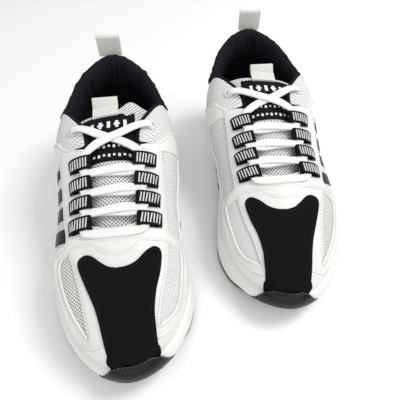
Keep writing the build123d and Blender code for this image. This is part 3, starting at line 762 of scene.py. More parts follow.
# ---- sole ----
def sole_ring(count):
    """Round the sole: t, its outline, the upper's outline at the cup's rim, the outward way, the rim's height
    and the way run round."""
    turn = np.arange(count) / count * 2 * math.pi
    side = np.where(turn < math.pi, 1, -1)
    share = (1 - np.cos(turn)) / 2
    t = share * LENGTH
    outline = np.where(side > 0, sole_half(t, 1), -sole_half(t, -1)) + centre(t)
    tu = UPPER_BACK + share * (UPPER_FRONT - UPPER_BACK)
    rim = along(FEATHER_HEIGHT, tu) + along(RIM, tu)
    upper = np.where(side > 0, half_at(tu, rim, 1), -half_at(tu, rim, -1)) + centre(tu)
    flat = np.stack([outline, t], 1)
    way = np.roll(flat, -1, 0) - np.roll(flat, 1, 0)
    way /= np.linalg.norm(way, axis=1, keepdims=True)
    out = np.stack([way[:, 1], -way[:, 0]], 1)
    return t, flat, np.stack([upper, tu], 1), out, rim, runs(flat)


def ground(t):
    """Height of the sole's underside."""
    toe = TOE_SPRING * np.maximum(0.0, (t - FLAT_TO) / (LENGTH - FLAT_TO)) ** 1.6
    return toe + HEEL_BEVEL * np.maximum(0.0, 1 - t / FLAT_FROM) ** 1.5


def wall_base(t):
    """Height at which the foam starts over the rubber."""
    return np.maximum(along(OUTSOLE_EDGE, t), ground(t) + 3.5) + 0.2


def toe_roll(t):
    """How far the wall's foot is drawn in under the sole, more so at the toe."""
    return 0.9 + 6.8 * ease((t - 250) / 35)


def wall_profile(t, flat, upper, out, rim, share):
    """The midsole's outer face, from its foot at share 0 to the cup's rim at share 1."""
    base = wall_base(t)
    knee = base + (rim - base) * 0.46
    x = np.clip(share / 0.5, 0, 1)
    y = np.clip((share - 0.5) / 0.5, 0, 1)
    lower = flat - out * (toe_roll(t) * (1 - np.sin(x * math.pi / 2)))[:, None]
    turned = (1 - np.cos(y * math.pi / 2))[:, None]
    face = lower * (1 - turned) + (upper + out * 1.3) * turned
    height = np.where(share < 0.5, base + (knee - base) * x, knee + (rim - knee) * np.sin(y * math.pi / 2))
    return face, height


def over(points, height):
    """Plan points (u, t) at their heights, in the shoe's frame."""
    return np.stack([points[:, 0], MIDDLE - points[:, 1], height], 1)


def make_midsole(side):
    """Foam cup with a ribbed wall, from the rubber up to its rim on the upper."""
    count = 1500
    t, flat, upper, out, rim, length = sole_ring(count)
    base = wall_base(t)
    rows = [over(flat - out * (toe_roll(t)[:, None] + 3), base - 0.1)]
    fade = np.clip((266 - t) / 16, 0, 1)
    ribs = 0.5 + 0.5 * np.cos(length / RIB_PITCH * 2 * math.pi)
    for share in np.concatenate([np.linspace(0, 0.5, 8), np.linspace(0.56, 1, 12)]):
        face, height = wall_profile(t, flat, upper, out, rim, np.full(count, share))
        mask = fade * min(1, max(0, (share - 0.12) / 0.1)) * min(1, max(0, (0.86 - share) / 0.1))
        face = face - out * (ribs * 0.34 * mask)[:, None]
        rows.append(over(face, height - ribs * 0.34 * mask * (share > 0.5)))
    rows.append(over(upper + out * 0.4, rim - 0.5))
    rows.append(over(upper - out * 0.8, rim - 6))
    cup = (np.concatenate(rows), ring_faces(len(rows), count, closed=True))
    piece(side, "midsole_cup", cup, FOAM, replaces=["midsole"], sharp=0)


def make_outsole(side):
    """Rubber outsole: a treaded underside with a low wall that rises over the toe as a bumper."""
    count = 720
    t, flat, upper, out, rim, length = sole_ring(count)
    from_tip = np.abs(length - length[count // 2] + BUMPER_ASIDE)
    cover = 0.05 + 0.95 * ease((BUMPER_REACH[1] - from_tip) / (BUMPER_REACH[1] - BUMPER_REACH[0]))
    rim = rim + BUMPER_RISE * cover
    low, base, roll = ground(t), wall_base(t), toe_roll(t)[:, None]
    proud = 2.3 * cover[:, None]
    under = ((4.4, 1.6), (3, 0), (0.6, 0.35))
    rows = [over(flat - out * (roll + inward), low + rise) for inward, rise in under]
    start = low + 1.5
    for x in np.linspace(0, 1, 5)[:-1]:
        rows.append(over(flat - out * (roll - 0.3), start + (base - start) * x))
    for x in np.linspace(0, 1, 18):
        face, height = wall_profile(t, flat, upper, out, rim, cover * x)
        rows.append(over(face + out * (0.2 + proud * (0.1 + 0.65 * x)), height + 0.4 * cover * x))
    top = rows[-1]
    for inward, rise in ((0.5, 0.35), (1.3, 0.4), (2.6, 0.1), (4.6, -1.6)):
        row = top.copy()
        row[:, :2] -= np.stack([out[:, 0], -out[:, 1]], 1) * inward
        row[:, 2] += rise * cover
        rows.append(row)
    rubber = merge([(np.concatenate(rows), capped_faces(len(rows), count))] + tread())[:2]
    piece(side, "outsole_rubber", rubber, RUBBER, replaces=["outsole"])
    crest = [k for k in range(count) if cover[k] > 0.85]
    ridge = rows[-4][crest]
    lean = np.stack([out[crest, 0], -out[crest, 1], np.ones(len(crest))], 1)
    sew(side, "bumper", stitch_row(ridge, lean, 1.9, 1.1, 0.3), DARK_THREAD)


def tread():
    """Lugs across the underside, in three columns."""
    parts = []
    for t in np.arange(20, 262, 11.0):
        left = -float(sole_half(t, -1)) + 5 + centre(t)
        right = float(sole_half(t, 1)) - 5 + centre(t)
        height = float(ground(np.array(t)))
        cuts = np.linspace(left, right, 4)
        for a, b in zip(cuts[:-1], cuts[1:]):
            corners = [(a + 1.2, t - 4), (b - 1.2, t - 4), (b - 1.2, t + 4), (a + 1.2, t + 4)]
            low = [(x, MIDDLE - y, height) for x, y in corners]
            high = [(x, MIDDLE - y, height + 2.5) for x, y in corners]
            faces = [(0, 1, 2, 3), (7, 6, 5, 4)]
            faces += [(k, k + 4, (k + 1) % 4 + 4, (k + 1) % 4) for k in range(4)]
            parts.append((np.array(low + high), faces))
    return parts


# ---- upper ----
def rim_height(t):
    """Height up the wall at which the collar's line crosses the section at t."""
    t = np.asarray(t, float)
    tilt = np.radians(HEEL_TILT) * np.maximum(0.0, 1 - t / TILT_END)
    z = along(COLLAR_LINE, t)
    for _ in range(6):
        z = TILT_LEVEL + (along(COLLAR_LINE, t + (z - TILT_LEVEL) * np.sin(tilt)) - TILT_LEVEL) / np.cos(tilt)
    return z


def over_top(u, t, side):
    """Chart place on the wall of a point (u, t) of the upper's face."""
    return WALL.find(t, float(surface_height(side * u, t)), side)


def wall_line(points, side):
    """Chart places of points (t, z) on the wall."""
    return [WALL.find(t, z, side) for t, z in points]


def plan_line(points):
    """Chart places of points (u, t) on the instep and toe."""
    return [TOP.find(u, t) for u, t in points]


def throat_wall(side):
    """The throat's edge on the wall chart, from the collar's corner forward."""
    return [over_top(u, t, side) for u, t in smooth(THROAT[:5], step=1.5)]


def make_quarter_mesh(side):
    """Knit of the collar, wings and quarters, in one piece round the heel."""
    loop = []
    front = 206.0
    for s in (-1, 1):
        run = [WALL.find(t, float(rim_height(t)), s) for t in np.linspace(5.2, COLLAR_CORNER - 3, 60)]
        run += throat_wall(s)
        run += [over_top(33, t, s) for t in np.linspace(121, front, 40)]
        run += [WALL.find(front, 26, s)]
        loop.append(run)
    bottom = [(x, 25.0) for x in np.linspace(loop[0][-1][0], loop[1][-1][0], 160)[1:-1]]
    outline = even_loop(np.array(loop[0][::-1] + loop[1] + bottom[::-1]), 1.6)
    knit = sheet(WALL, [outline], -1.1, 1.1, spacing=2.4, radius=0.8)
    behind = ["lateral_quarter_mesh", "medial_quarter_mesh"]
    piece(side, "quarter_knit", knit, MESH_SOFT, replaces=behind)


# each window's outline (u, t), and the numbers of its sharp corners
WINDOWS = [
    ([(-36, 204), (-43, 210.5), (-39.5, 228), (-32, 246), (-21.5, 263), (-26.5, 238), (-32, 217)], (0, 4)),
    ([(38, 203.5), (46.5, 205), (45.3, 224), (40, 247), (27, 261), (30, 246), (35.5, 224)], (0, 1, 4)),
]
MUDGUARD_EDGE = [
    (-44.5, 201.5), (-45.8, 209), (-42, 229), (-34.5, 248), (-25.5, 263), (-18, 268), (-6, 268), (12, 267),
    (24, 266.5), (31, 262.5), (42, 249), (47.8, 225), (48.5, 206), (44.5, 199.5),
]  # fmt: skip
PANEL_MEDIAL = [
    (0, 222), (7, 221.3), (14, 218), (21, 211), (27.5, 207.2), (32, 211), (30.5, 225), (26.5, 239),
    (24.3, 252), (24.2, 260), (24.1, 266), (24.0, 270.5),
]  # fmt: skip
PANEL_LATERAL = [
    (0, 222), (-6, 220.3), (-12, 215.8), (-17, 211.3), (-22, 209.5), (-27, 212), (-27, 218.5), (-21, 234),
    (-16, 246), (-13, 256), (-11, 265), (-9.6, 271), (-8.4, 275),
]  # fmt: skip
PANEL_FOOT = {-1: -6.5, 1: 23.5}
MOON = [(21, 198), (18, 203.5), (12, 209.5), (1, 212.8), (-10, 210), (-16, 205), (-19, 199)]


def skirt(a, side, share=0.985):
    """Chart line low on the side of the toe, at a share of the girth."""
    return np.stack([a, side * share * np.interp(a, TOP.a, TOP.girth[:, 0 if side < 0 else 1])], 1)


def make_vamp(side):
    """Leather of the toe: the inner layer with its two windows, and the mudguard over it."""
    windows = [smooth(plan_line(points), closed=True, sharp=sharp) for points, sharp in WINDOWS]
    # knit behind the windows
    for name, paint, loop in zip(("lateral", "medial"), (MESH_WARM, MESH_SOFT), windows):
        knit = sheet(TOP, [inset(loop, -2.2)], -1.0, 0.8, radius=0.5)
        piece(side, f"{name}_window_knit", knit, paint, replaces=["vamp_mesh"])
    # inner vamp, from the throat to the toe
    ends = np.interp(np.linspace(196.5, 279.5, 70), TOP.t_list, TOP.run)
    outline = even_loop(np.concatenate([skirt(ends, -1), skirt(ends, 1)[::-1]]), 1.6)
    vamp = sheet(TOP, [outline] + windows, 0.1, 1.2, spacing=2.4, seam=2.0)
    piece(side, "vamp_leather", vamp, LEATHER, replaces=["vamp_overlay"])
    # mudguard: the outer layer, whose edge runs along the windows and over to the toe panel
    edge = smooth(plan_line(MUDGUARD_EDGE))
    tip = TOP.find(0, 279.8)[0]
    left, right = (skirt(np.linspace(edge[k][0], tip, 70), s, 0.99) for k, s in ((0, -1), (-1, 1)))
    outline = even_loop(np.concatenate([edge, right, left[::-1]]), 1.4)
    piece(side, "mudguard", sheet(TOP, [outline], 1.0, 1.0, spacing=2.4, seam=1.9), LEATHER)
    seam_line = inset(edge, -1.9 if area(outline) < 0 else 1.9)
    threads = stitches(TOP, [p for p in seam_line[2:-2] if abs(p[1]) < 34], 1.95)
    for loop in windows:
        ring = inset(loop, 1.9, hole=True)
        threads += stitches(TOP, np.concatenate([ring, ring[:1]]), 1.3)
    sew(side, "vamp", threads)


def front_line(side):
    """Chart line along the feather edge at the toe, from under the panel's side to the tip."""
    t = np.linspace(255, 280.7, 60)
    edge = centre(t) + side * upper_half(t, side)[0]
    t = t[side * edge <= side * PANEL_FOOT[side]]
    return skirt(np.interp(t, TOP.t_list, TOP.run), side)


def make_toe_panel(side):
    """Black panel from the throat to the toe, wide at its top and running down under the bumper."""
    right = smooth(plan_line(PANEL_MEDIAL), step=1.0)
    left = smooth(plan_line(PANEL_LATERAL), step=1.0)
    outline = even_loop(np.concatenate([right, front_line(1), front_line(-1)[::-1], left[::-1][:-1]]), 1.1)
    panel = sheet(TOP, [outline], 2.0, 0.95, radius=0.8, seam=2.2, seam_depth=0.3, puff=0.25)
    piece(side, "toe_panel_nubuck", panel, SUEDE, replaces=["toe_panel"])
    turned = 1 if area(outline) > 0 else -1
    threads = []
    for line, sign in ((right, 1), (left, -1)):
        threads += stitches(TOP, inset_line(line, 2.2 * sign * turned), 2.75)
    sew(side, "toe_panel", threads, BLACK_THREAD)


def inset_line(line, distance):
    """An open line moved sideways."""
    way = np.gradient(line, axis=0)
    way /= np.linalg.norm(way, axis=1, keepdims=True) + 1e-12
    return line + np.stack([-way[:, 1], way[:, 0]], 1) * distance


def seam_threads(chart, outline, lines, lift):
    """Stitches just inside an outline, along these parts of it."""
    distance = SEAM_INSET if area(outline) > 0 else -SEAM_INSET
    threads = []
    for line in lines:
        threads += stitches(chart, inset_line(line, distance), lift)
    return threads


def make_throat_patch(side):
    """Half-moon pad over the top of the panel."""
    moon = smooth(plan_line(MOON), step=1.0)
    outline = even_loop(moon, 1.1)
    pad = sheet(TOP, [outline], 1.0, 0.9, spacing=1.8, seam=1.8, puff=0.5)
    piece(side, "throat_pad", pad, LEATHER, replaces=["throat_patch"])
    sew(side, "throat_pad", stitches(TOP, inset_line(moon, -1.8 if area(outline) < 0 else 1.8)[1:-1], 1.7))


def throat_edge(side):
    """The throat's edge in plan, from the wings to its round end."""
    return [(side * 22.6, 124), (side * 20.6, 150), (side * THROAT[-1][0], THROAT[-1][1])]


EYESTAY = {
    -1: [(-43.8, 119.5), (-42, 150), (-40, 175), (-37.5, 191), (-38.5, 197.5), (-43, 199.5)],
    1: [(39.5, 119.5), (38.8, 143), (39, 166), (38.3, 190), (40, 196), (45, 198)],
}


def make_eyestay(side):
    """Leather round the throat, which carries the lace loops."""
    inner = throat_edge(-1) + [(-14, 189.5), (0, THROAT_END), (14, 189.5)] + throat_edge(1)[::-1]
    line = smooth(plan_line(inner), step=1.0)
    front = [(46, 203), (22, 203), (0, 203.5), (-22, 203), (-44.5, 203.5)]
    outside = EYESTAY[1] + front + EYESTAY[-1][::-1]
    back = smooth(plan_line(outside), sharp=(5, 6, 10, 11))
    outline = even_loop(np.concatenate([line, back]), 1.2)
    leather = sheet(TOP, [outline], 1.0, 1.25, spacing=2.2, seam=SEAM_INSET, puff=0.3)
    piece(side, "eyestay_leather", leather, LEATHER, replaces=["eyestay"])
    threads = seam_threads(TOP, outline, (line, back), 2.1)
    for s in (-1, 1):
        threads += stitches(TOP, plan_line([(s * 27, 122.6), (s * 37.5, 121.7)]), 2.3)
    sew(side, "eyestay", threads)


QUARTER_LOW = {
    -1: [(121, 60), (124, 52), (132, 45.5), (150, 41), (180, 39), (205, 38), (205, 26)],
    1: [(119, 66), (121, 61.5), (132, 56), (150, 51), (172, 46.5), (196, 44), (205, 41), (205, 26)],
}


def make_quarters(side):
    """Leather of both sides, from the heel up to the wings and forward to the toe."""
    threads = []
    for s, name in ((-1, "lateral"), (1, "medial")):
        top = [(33, 26), (33, 58), (48, 58), (66, 59), (82, 62.5), (94, 69)]
        wing = [(47.5, 105), (42.5, 113), (35.5, 119.5), (28, 122.8), (22.9, 124.2)]
        high = [over_top(u, t, s) for u, t in wing]
        rest = [over_top(u, t, s) for u, t in ((24, 128), (38, 126))]
        low = QUARTER_LOW[s]
        line = wall_line(top, s) + high
        points = line + rest + wall_line(low, s)
        sharp = (0, 1, len(line) - 1, len(line), len(line) + 1, len(points) - 2, len(points) - 1)
        outline = smooth(points, closed=True, step=1.3, sharp=sharp)
        leather = sheet(WALL, [outline], 0.1, 1.25, spacing=2.4, seam=SEAM_INSET)
        piece(side, f"{name}_quarter_leather", leather, LEATHER, replaces=[f"{name}_overlay"])
        threads += seam_threads(WALL, outline, (smooth(line[1:]), smooth(wall_line(low[:-1], s))), 1.3)
    sew(side, "quarter", threads)


def make_heel(side):
    """Leather round the heel, with a strap up to the collar for the pull tab."""
    half = TAB_WIDTH / 2 + 1.5
    left, right = (wall_line([(40, 25), (39, 50), (34, 62), (22, 72), (9, 82)], s)[::s] for s in (-1, 1))
    strap = [(half, 92), (half - 1, float(rim_height(6.0)) - 1.5)]
    other = [(-half + 1, float(rim_height(6.0)) - 1.5), (-half, 92)]
    points = right + strap + other + left
    sharp = (0, 6, 7, len(points) - 1)
    outline = smooth(points, closed=True, step=1.3, sharp=sharp)
    leather = sheet(WALL, [outline], 0.9, 1.3, spacing=2.2, seam=SEAM_INSET)
    piece(side, "heel_leather", leather, LEATHER, replaces=["heel_overlay"])
    seams = (smooth(right[1:] + strap), smooth(other + left[:-1]))
    sew(side, "heel", seam_threads(WALL, outline, seams, 2.0))


def make_stripes(side):
    """Slanted bars: they run up to the eyestay on the lateral side, and stay low on the medial one."""
    bars = []
    first = STRIPES[0][0]
    for t, wide in STRIPES:
        back, front = t + STRIPE_SLANT, t + STRIPE_SLANT + wide
        rise = 0.8 if t == first else 1.0
        crest = [float(surface_height(u, x)) for u, x in ((-37.5, back), (-36.5, front))]
        high = [STRIPE_FOOT + (z - STRIPE_FOOT) * rise for z in crest]
        corners = [(t, STRIPE_FOOT), (t + wide - 1, STRIPE_FOOT - 1), (front, high[1]), (back, high[0])]
        bars.append((-1, corners, 0.05))
    for t, _ in STRIPES:
        top = MEDIAL_TOP - (t - first) * 0.08
        corners = [(t - MEDIAL_BACK, 37), (t, 36.5), (t + 6, top - 1), (t + 6 - MEDIAL_BACK, top)]
        bars.append((1, corners, 1.3))
    parts = []
    for s, corners, base in bars:
        loop = smooth(wall_line(corners, s), closed=True, sharp=(0, 1, 2, 3))
        parts.append(sheet(WALL, [loop], base, 0.75, spacing=2.2, radius=0.6))
    piece(side, "stripe_film", merge(parts), STRIPE, replaces=["side_stripes"])


# height from the rim, and place outward from the wall
COLLAR_PROFILE = [
    (-2.5, 0.15), (-0.6, 0.35), (0.5, -0.6), (1.1, -2.2), (0.8, -4.2), (-0.8, -6.2), (-4, -8.2), (-9, -9.6),
    (-15, -10), (-21, -9.2), (-27, -7), (-33, -4.4), (-40, -3.4), (-52, -3.2), (-70, -3.2),
]  # fmt: skip


def make_collar(side):
    """Padded collar: over the rim, down inside as a swelling, and thin again at the foot."""
    corner = COLLAR_CORNER - 2
    a = np.linspace(WALL.find(corner, 0, -1)[0], WALL.find(corner, 0, 1)[0], 170)
    profile = smooth(COLLAR_PROFILE, step=1.6)
    t_of = np.array([float(np.interp(abs(x), WALL.run[1 if x > 0 else -1], WALL.t_list)) for x in a])
    rims = rim_height(t_of)
    rows = []
    rng = random.Random(3 if side == "right" else 5)
    folds = [(rng.uniform(-95, 95), rng.uniform(1.2, 2.6), rng.uniform(0.6, 1.5)) for _ in range(30)]
    folds += [(rng.uniform(-16, 16), 1.6, 1.6) for _ in range(6)]
    for drop, inward in profile:
        height = np.maximum(rims + drop, 30.0)
        depth = np.full(len(a), inward)
        deep = math.exp(-(((drop + 12) / 12) ** 2))
        for where, width, amount in folds:
            depth = depth + amount * deep * np.exp(-(((a - where) / width) ** 2))
        points, _ = WALL.at(np.stack([a, height], 1), depth)
        rows.append(points)
    count = len(a)
    faces = [f for k, f in enumerate(ring_faces(len(rows), count)) if k % count < count - 1]
    uv = np.stack(np.meshgrid(a, np.arange(len(rows)) * 1.6), -1).reshape(-1, 2)
    obj = piece(side, "collar_padding", (np.concatenate(rows), faces, uv), BLACK_CLOTH,
                replaces=["collar_lining", "collar_foam"], sharp=0)  # fmt: skip
    thicken(obj, 0.8)


def thicken(obj, thickness):
    """Give an open sheet its thickness for good."""
    modifier = obj.modifiers.new("thickness", "SOLIDIFY")
    modifier.thickness = thickness * MM
    modifier.offset = -1
    graph = bpy.context.evaluated_depsgraph_get()
    mesh = bpy.data.meshes.new_from_object(obj.evaluated_get(graph))
    obj.modifiers.remove(modifier)
    obj.data = mesh


def make_wing_binding(side):
    """Black turned edge of the lining along the throat's wings."""
    parts = []
    for s in (-1, 1):
        curve = smooth([(u - 1.0, t) for u, t in THROAT[:5]], step=1.5)
        path, normals = WALL.at([over_top(u, t, s) for u, t in curve], -1.9)
        parts.append(tube(path, normals, pill(4.2, 3.0, 6)))
    piece(side, "wing_binding", merge(parts), BLACK_CLOTH, sharp=0)


# ---- tongue, label and tabs ----
def tongue_face(u, t, lift=0.0, flap=0.0):
    """A point over the tongue's face, which leans over and has a flap at its top."""
    u = np.asarray(u, float)
    full = along(TONGUE_WIDTH, t)
    top = along(RIDGE_HEIGHT, t) - along(TONGUE_DEPTH, t)
    drop = (top - surface_height(full, t) + TONGUE_EDGE_DEPTH) * np.abs(u / full) ** 2.6
    near = np.clip((126 - np.asarray(t, float)) / 40, 0, 1)
    shift = near * TONGUE_SKEW * u + near**2 * flap * np.exp(-(((u - 17) / 9) ** 2))
    slope = (along(RIDGE_HEIGHT, t - 1) - along(RIDGE_HEIGHT, t + 1)) / 2
    return np.stack(np.broadcast_arrays(u, MIDDLE - t + shift, top - drop + lift + shift * slope), -1)


def make_tongue(side):
    """Padded knit tongue, rounded at its edges and ends."""
    rows = []
    long = TONGUE_BASE - TONGUE_TOP
    ends = ([0, 0.4, 1.2, 2.4], [long - 2, long - 0.6, long])
    stations = np.concatenate([ends[0], np.linspace(4, long - 4, 60), ends[1]])
    middle = -TONGUE_THICK / 2
    bend = np.linspace(0.3, math.pi - 0.3, 7)
    for run in stations:
        t = TONGUE_TOP + run
        end = min(run, long - run)
        plump = math.sqrt(max(0.02, 1 - (1 - min(end / 2.5, 1)) ** 2))
        flat = float(along(TONGUE_WIDTH, t)) - 2.5 * (1 - plump) - 2.2
        thick = TONGUE_THICK / 2 * plump
        face = [(x, thick) for x in np.linspace(-1, 1, 41) * flat]
        face += [(flat + 2.2 * math.sin(p), thick * math.cos(p)) for p in bend]
        ring = np.array(face + [(-x, -y) for x, y in face]) + (0, middle)
        wave = 0.5 * math.sin(run / 9) * (ring[:, 1] > middle)
        rows.append(tongue_face(ring[:, 0], np.full(len(ring), t), ring[:, 1] + wave, TONGUE_FLAP[side]))
    count = len(rows[0])
    verts = np.concatenate(rows)
    faces = [f[::-1] for f in ring_faces(len(rows), count)]
    faces.append(tuple(range(count)))
    faces.append(tuple(range(len(verts) - 1, len(verts) - 1 - count, -1)))
    knit = (verts, faces, verts[:, :2])
    obj = piece(side, "tongue_knit", knit, MESH, body="tongue", replaces=["tongue"], sharp=0)


def tongue_patch(u0, u1, t0, t1, low, high, step=2.0):
    """A small flat piece on the tongue's face."""
    us = np.linspace(u0, u1, max(2, int((u1 - u0) / step) + 1))
    ts = np.linspace(t0, t1, max(2, int((t1 - t0) / step) + 1))
    grid_u, grid_t = np.meshgrid(us, ts)
    verts = np.concatenate([tongue_face(grid_u.ravel(), grid_t.ravel(), lift) for lift in (high, low)])
    n, m = len(ts), len(us)
    top = [f[::-1] for k, f in enumerate(ring_faces(n, m)) if k % m < m - 1]
    size = n * m
    faces = top + [tuple(size + k for k in f[::-1]) for f in top]
    border = list(range(m)) + [i * m + m - 1 for i in range(1, n)]
    border += [(n - 1) * m + j for j in range(m - 2, -1, -1)] + [i * m for i in range(n - 2, 0, -1)]
    for k, a in enumerate(border):
        b = border[(k + 1) % len(border)]
        faces.append((a, b, b + size, a + size))
    return verts, faces, verts[:, :2]


def make_label(side):
    """Woven label with plain generic marks: a row of bars, and two rows of small blocks."""
    cloth = tongue_patch(LABEL_ASIDE - LABEL_HALF, LABEL_ASIDE + LABEL_HALF, *LABEL, 0.1, 0.9, 1.6)
    piece(side, "label_cloth", cloth, LABEL_CLOTH, body="tongue", replaces=["tongue_label"])
    marks = []
    for k in range(5):
        u = LABEL_ASIDE - 14 + 7 * k
        marks.append(tongue_patch(u - 1.4, u + 1.4, 97.5, 105, 0.85, 1.1))
        if k % 2:
            marks.append(tongue_patch(u - 2.6, u + 2.6, 100, 102, 0.85, 1.12))
    for row, t in ((0, 122.5), (1, 130.5)):
        for k in range(9):
            u = LABEL_ASIDE - 16.8 + 4.2 * k
            marks.append(tongue_patch(u - 1.0, u + 1.0, t, t + 1.7 + 0.8 * ((k + row) % 2), 0.85, 1.1))
    piece(side, "label_marks", merge(marks), LABEL_MARK, body="tongue")
    middle, half = TAB_ASIDE[side], TAB_WIDTH / 2
    base = tongue_patch(middle - half, middle + half, 81.6, LABEL[0] + 1, 0.2, 2.4, 1.6)
    piece(side, "tab_base", base, CREAM, body="tongue")


def folded_tab(length, gap, bend):
    """Side path of a folded webbing loop, from one sewn end over the fold to the other."""
    radius = gap / 2 + TAB_THICK / 2
    end = length - radius
    path = [(0.0, -radius * 0.6), (length * 0.35, -radius), (end, -radius)]
    path += [(end + radius * math.sin(p), -radius * math.cos(p)) for p in np.linspace(0.3, math.pi - 0.3, 7)]
    path += [(end, radius), (length * 0.35, radius), (0.0, radius * 0.6)]
    path = smooth(path)
    path[:, 1] += bend * (path[:, 0] / length) ** 2
    return path


def make_tab(side, node, length, lean, gap, bend=0.0, aside=0.0):
    """A pull tab standing on its joint, leaning back from upright."""
    hinge = next(j for j in frame["joints"] if j["name"] == f"{side}_{node}_swing")
    local = PLACE[side].inverted() @ Vector(hinge["pos_m"])
    way = np.array([0, math.sin(math.radians(lean)), math.cos(math.radians(lean))])
    out = np.array([0, -way[2], way[1]])
    path = folded_tab(length, gap, bend)
    points = np.array(local) + way * (path[:, :1] - 2.2) + out * path[:, 1:]
    points[:, 0] += aside
    tangent = np.gradient(points, axis=0)
    normals = np.cross(tangent, np.array([1.0, 0, 0]))
    band = tube(points, normals, pill(TAB_WIDTH, TAB_THICK, 6))
    piece(side, node.replace("tab", "pull"), band, CREAM, body=node, replaces=[node])


# ---- lace loops, eyelets and lace ----
def seat(u, t, lift=0.0):
    """A place on the instep: point, way towards the heel, and outward way."""
    (point,), (out,) = TOP.at([TOP.find(u, t)], lift)
    ahead = np.array([0.0, 1.0, 0.0])
    ahead -= out * (ahead @ out)
    ahead /= np.linalg.norm(ahead)
    return point, ahead, out


def make_loops(side):
    """Webbing loops that hold the lace in their fold, with white bars woven across."""
    inner, outer = LOOP_CENTRE - LOOP_LENGTH / 2, LOOP_CENTRE + LOOP_LENGTH / 2
    # (u, lift): down the underside, round the fold, and back over the top
    steps = [(outer, 1.35), (outer - 3, 2.4), (LOOP_CENTRE, 2.7), (inner + 3, 2.7)]
    turn = (0.6, 1.2, 1.57, 2.0, 2.6)
    steps += [(inner + 1.6 - 2.0 * math.sin(p), 4.55 - 1.85 * math.cos(p)) for p in turn]
    steps += [(inner + 3, 6.45), (LOOP_CENTRE - 2, 6.4), (LOOP_CENTRE + 3, 5.9)]
    steps += [(outer - 2.4, 4.6), (outer, 3.2)]
    fine = smooth(steps, step=1.0)
    top = [k for k, (_, lift) in enumerate(fine) if lift > 3.4 and k > len(fine) // 2]
    bands, bars = [], []
    for s in (-1, 1):
        for row in LOOP_ROWS:
            path = np.array([seat(s * u, row, lift)[0] for u, lift in fine])
            ahead = seat(s * LOOP_CENTRE, row)[1]
            normals = np.cross(np.gradient(path, axis=0), ahead) * -s
            bands.append(tube(path, normals, pill(LOOP_WIDTH, WEBBING, 5)))
            rng = random.Random(int(row) + s)
            for number in range(7):
                u = inner + 2.6 + number * 2.05
                lift = float(np.interp(u, fine[top, 0], fine[top, 1])) + WEBBING * 0.5
                slant = rng.uniform(-0.25, 0.25) + 0.35 * s
                line, out_line = [], []
                for share in np.linspace(-1, 1, 7):
                    point, ahead, out = seat(s * (u + slant * share), row, lift)
                    line.append(point + ahead * share * 4.0)
                    out_line.append(out)
                bars.append(tube(np.array(line), np.array(out_line), pill(1.15, 0.55, 4)))
    piece(side, "loop_webbing", merge(bands), BLACK_WEBBING, replaces=["lace_loops"])
    piece(side, "loop_bars", merge(bars), WHITE_WEBBING)


def make_eyelets(side):
    """A ring round each wing's eyelet."""
    parts = []
    for s in (-1, 1):
        (point,), (out,) = WALL.at([over_top(*EYELET_AT, s)], 0.6)
        first = np.cross(out, [0, 1.0, 0])
        first /= np.linalg.norm(first)
        second = np.cross(out, first)
        angles = np.linspace(0, 2 * math.pi, 33)[:-1]
        circle = np.outer(np.cos(angles), first) + np.outer(np.sin(angles), second)
        rings = []
        for p in np.linspace(0, 2 * math.pi, 9)[:-1]:
            radius, height = 3.6 + 0.95 * math.cos(p), 0.75 * math.sin(p)
            rings.append(point + out * height + radius * circle)
        parts.append((np.concatenate(rings), ring_faces(len(rings), len(angles), closed=True)))
    piece(side, "eyelet_rings", merge(parts)[:2], RING, replaces=["eyelets"], sharp=0)


def make_lace(side):
    """One flat lace: a bar under the lowest loops, then crossing up through each pair to the eyelets."""
    halves = {}
    for start in (-1, 1):
        s = start  # the side the lace is on, which changes at each crossing
        points = [(0.0, LOOP_ROWS[-1] + 9.5, 3.0), (s * 12.0, LOOP_ROWS[-1] + 9.3, 3.4)]
        for index, row in enumerate(reversed(LOOP_ROWS)):
            inner = LOOP_CENTRE - LOOP_LENGTH / 2 + 4.6
            points.append((s * (inner - 0.5), row + 7.2, 4.4))
            points.append((s * (inner + 0.6), row, 4.6))
            points.append((s * (inner - 0.5), row - 6.6, 4.4))
            above = (index % 2 == 1) == (start > 0)
            rise, shift = (3.3, -0.7) if above else (1.3, 0.9)
            if row != LOOP_ROWS[0]:
                leave, arrive = row - 6.6, LOOP_ROWS[-index - 2] + 6.5
                points.append((s * 8.0, leave + (arrive - leave) * 0.3 + shift, rise))
                points.append((-s * 8.0, leave + (arrive - leave) * 0.7 + shift, rise))
            else:
                points.append((s * 10.0, row - 15.0, rise + 0.6))
                points.append((-s * 8.0, row - 22.5, rise + 0.6))
                points.append((-s * 22.0, EYELET_AT[1] + 3.5, 3.4))
            s = -s
        points.append((s * (EYELET_AT[0] - 3.2), EYELET_AT[1] + 0.7, 3.0))
        points.append((s * EYELET_AT[0], EYELET_AT[1], 0.6))
        points.append((s * (EYELET_AT[0] - 0.6), EYELET_AT[1] - 0.5, -5.0))
        halves[start] = points
    route = halves[-1][:0:-1] + halves[1]
    fine = smooth(route, step=1.3)
    path, normals = TOP.at(plan_line(fine[:, :2]), fine[:, 2])
    narrow = np.interp(np.abs(fine[:, 0]), [0, 12, 19, 23], [1.0, 1.0, 0.92, 0.86])
    rng = random.Random(11 if side == "right" else 12)
    wave = 1 + 0.05 * np.sin(np.arange(len(path)) * 0.23 + rng.uniform(0, 6))
    base = pill(LACE_WIDTH, LACE_THICK, 7)
    profile = base[None] * np.stack([narrow * wave, np.ones(len(path))], 1)[:, None]
    profile[..., 1] += 0.18 * np.cos(profile[..., 0] / LACE_WIDTH * math.pi) * np.sign(profile[..., 1])
    piece(side, "flat_lace", tube(path, normals, profile), LACE, replaces=["lace"], sharp=0)


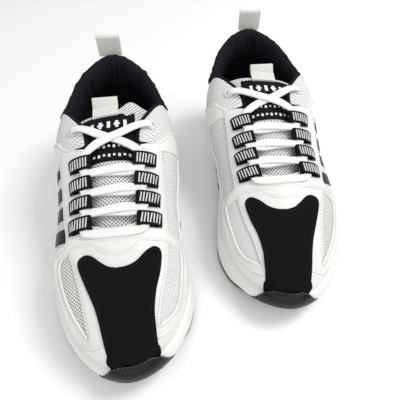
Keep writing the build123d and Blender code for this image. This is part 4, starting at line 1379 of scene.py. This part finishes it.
# ---- carried-over frame nodes ----
def repaint(side):
    """Materials for the inner parts, which are shown as they come."""
    for node, material in (
        ("insole", BLACK_CLOTH), ("insole_board", FOAM), ("heel_counter", FOAM), ("toe_puff", FOAM),
        ("lining", BLACK_CLOTH), ("aglets", CLEAR_TIP),
    ):  # fmt: skip
        mesh = frame["nodes"][f"{side}_{node}"].data
        mesh.materials.clear()
        mesh.materials.append(material)


# ---- camera, light and floor ----
def make_camera():
    camera = bpy.data.objects.new("camera", bpy.data.cameras.new("camera"))
    bpy.context.scene.collection.objects.link(camera)
    camera.data.sensor_width = 36.0
    camera.data.lens = CAMERA_LENS
    camera.location = PLACE["left"] @ Vector((0, MIDDLE - CAMERA_OVER, 0)) + Vector(CAMERA_FROM)
    camera.rotation_euler = (math.radians(90 - CAMERA_DOWN), 0, 0)
    bpy.context.scene.camera = camera


def make_stage():
    mesh = bpy.data.meshes.new("floor")
    corners = [(x * FLOOR_HALF, y * FLOOR_HALF, 0) for x, y in ((-1, -1), (1, -1), (1, 1), (-1, 1))]
    mesh.from_pydata(corners, [], [(0, 1, 2, 3)])
    mesh.materials.append(Paint("floor", (0.95, 0.95, 0.95), 0.9).material)
    floor = bpy.data.objects.new("floor", mesh)
    bpy.context.scene.collection.objects.link(floor)
    world = bpy.data.worlds.new("studio")
    world.use_nodes = True
    background = world.node_tree.nodes["Background"]
    background.inputs["Color"].default_value = (1, 1, 1, 1)
    background.inputs["Strength"].default_value = WORLD_STRENGTH
    bpy.context.scene.world = world
    bpy.context.scene.view_settings.view_transform = "Standard"
    for name, place, size, power in LIGHTS:
        light = bpy.data.lights.new(name, "AREA")
        light.size, light.energy = size, power
        obj = bpy.data.objects.new(name, light)
        obj.location = place
        obj.rotation_euler = (-Vector(place)).to_track_quat("-Z", "Y").to_euler()
        bpy.context.scene.collection.objects.link(obj)


make_camera()
make_stage()
for shoe in ("right", "left"):
    make_midsole(shoe)
    make_outsole(shoe)
    make_quarter_mesh(shoe)
    make_vamp(shoe)
    make_toe_panel(shoe)
    make_throat_patch(shoe)
    make_eyestay(shoe)
    make_quarters(shoe)
    make_heel(shoe)
    make_stripes(shoe)
    make_collar(shoe)
    make_wing_binding(shoe)
    make_tongue(shoe)
    make_label(shoe)
    make_tab(shoe, "tongue_tab", 9.0, 50, 1.6, 0.6, TAB_ASIDE[shoe])
    make_tab(shoe, "heel_tab", 20.5, -5, 2.0)
    make_loops(shoe)
    make_eyelets(shoe)
    make_lace(shoe)
    repaint(shoe)
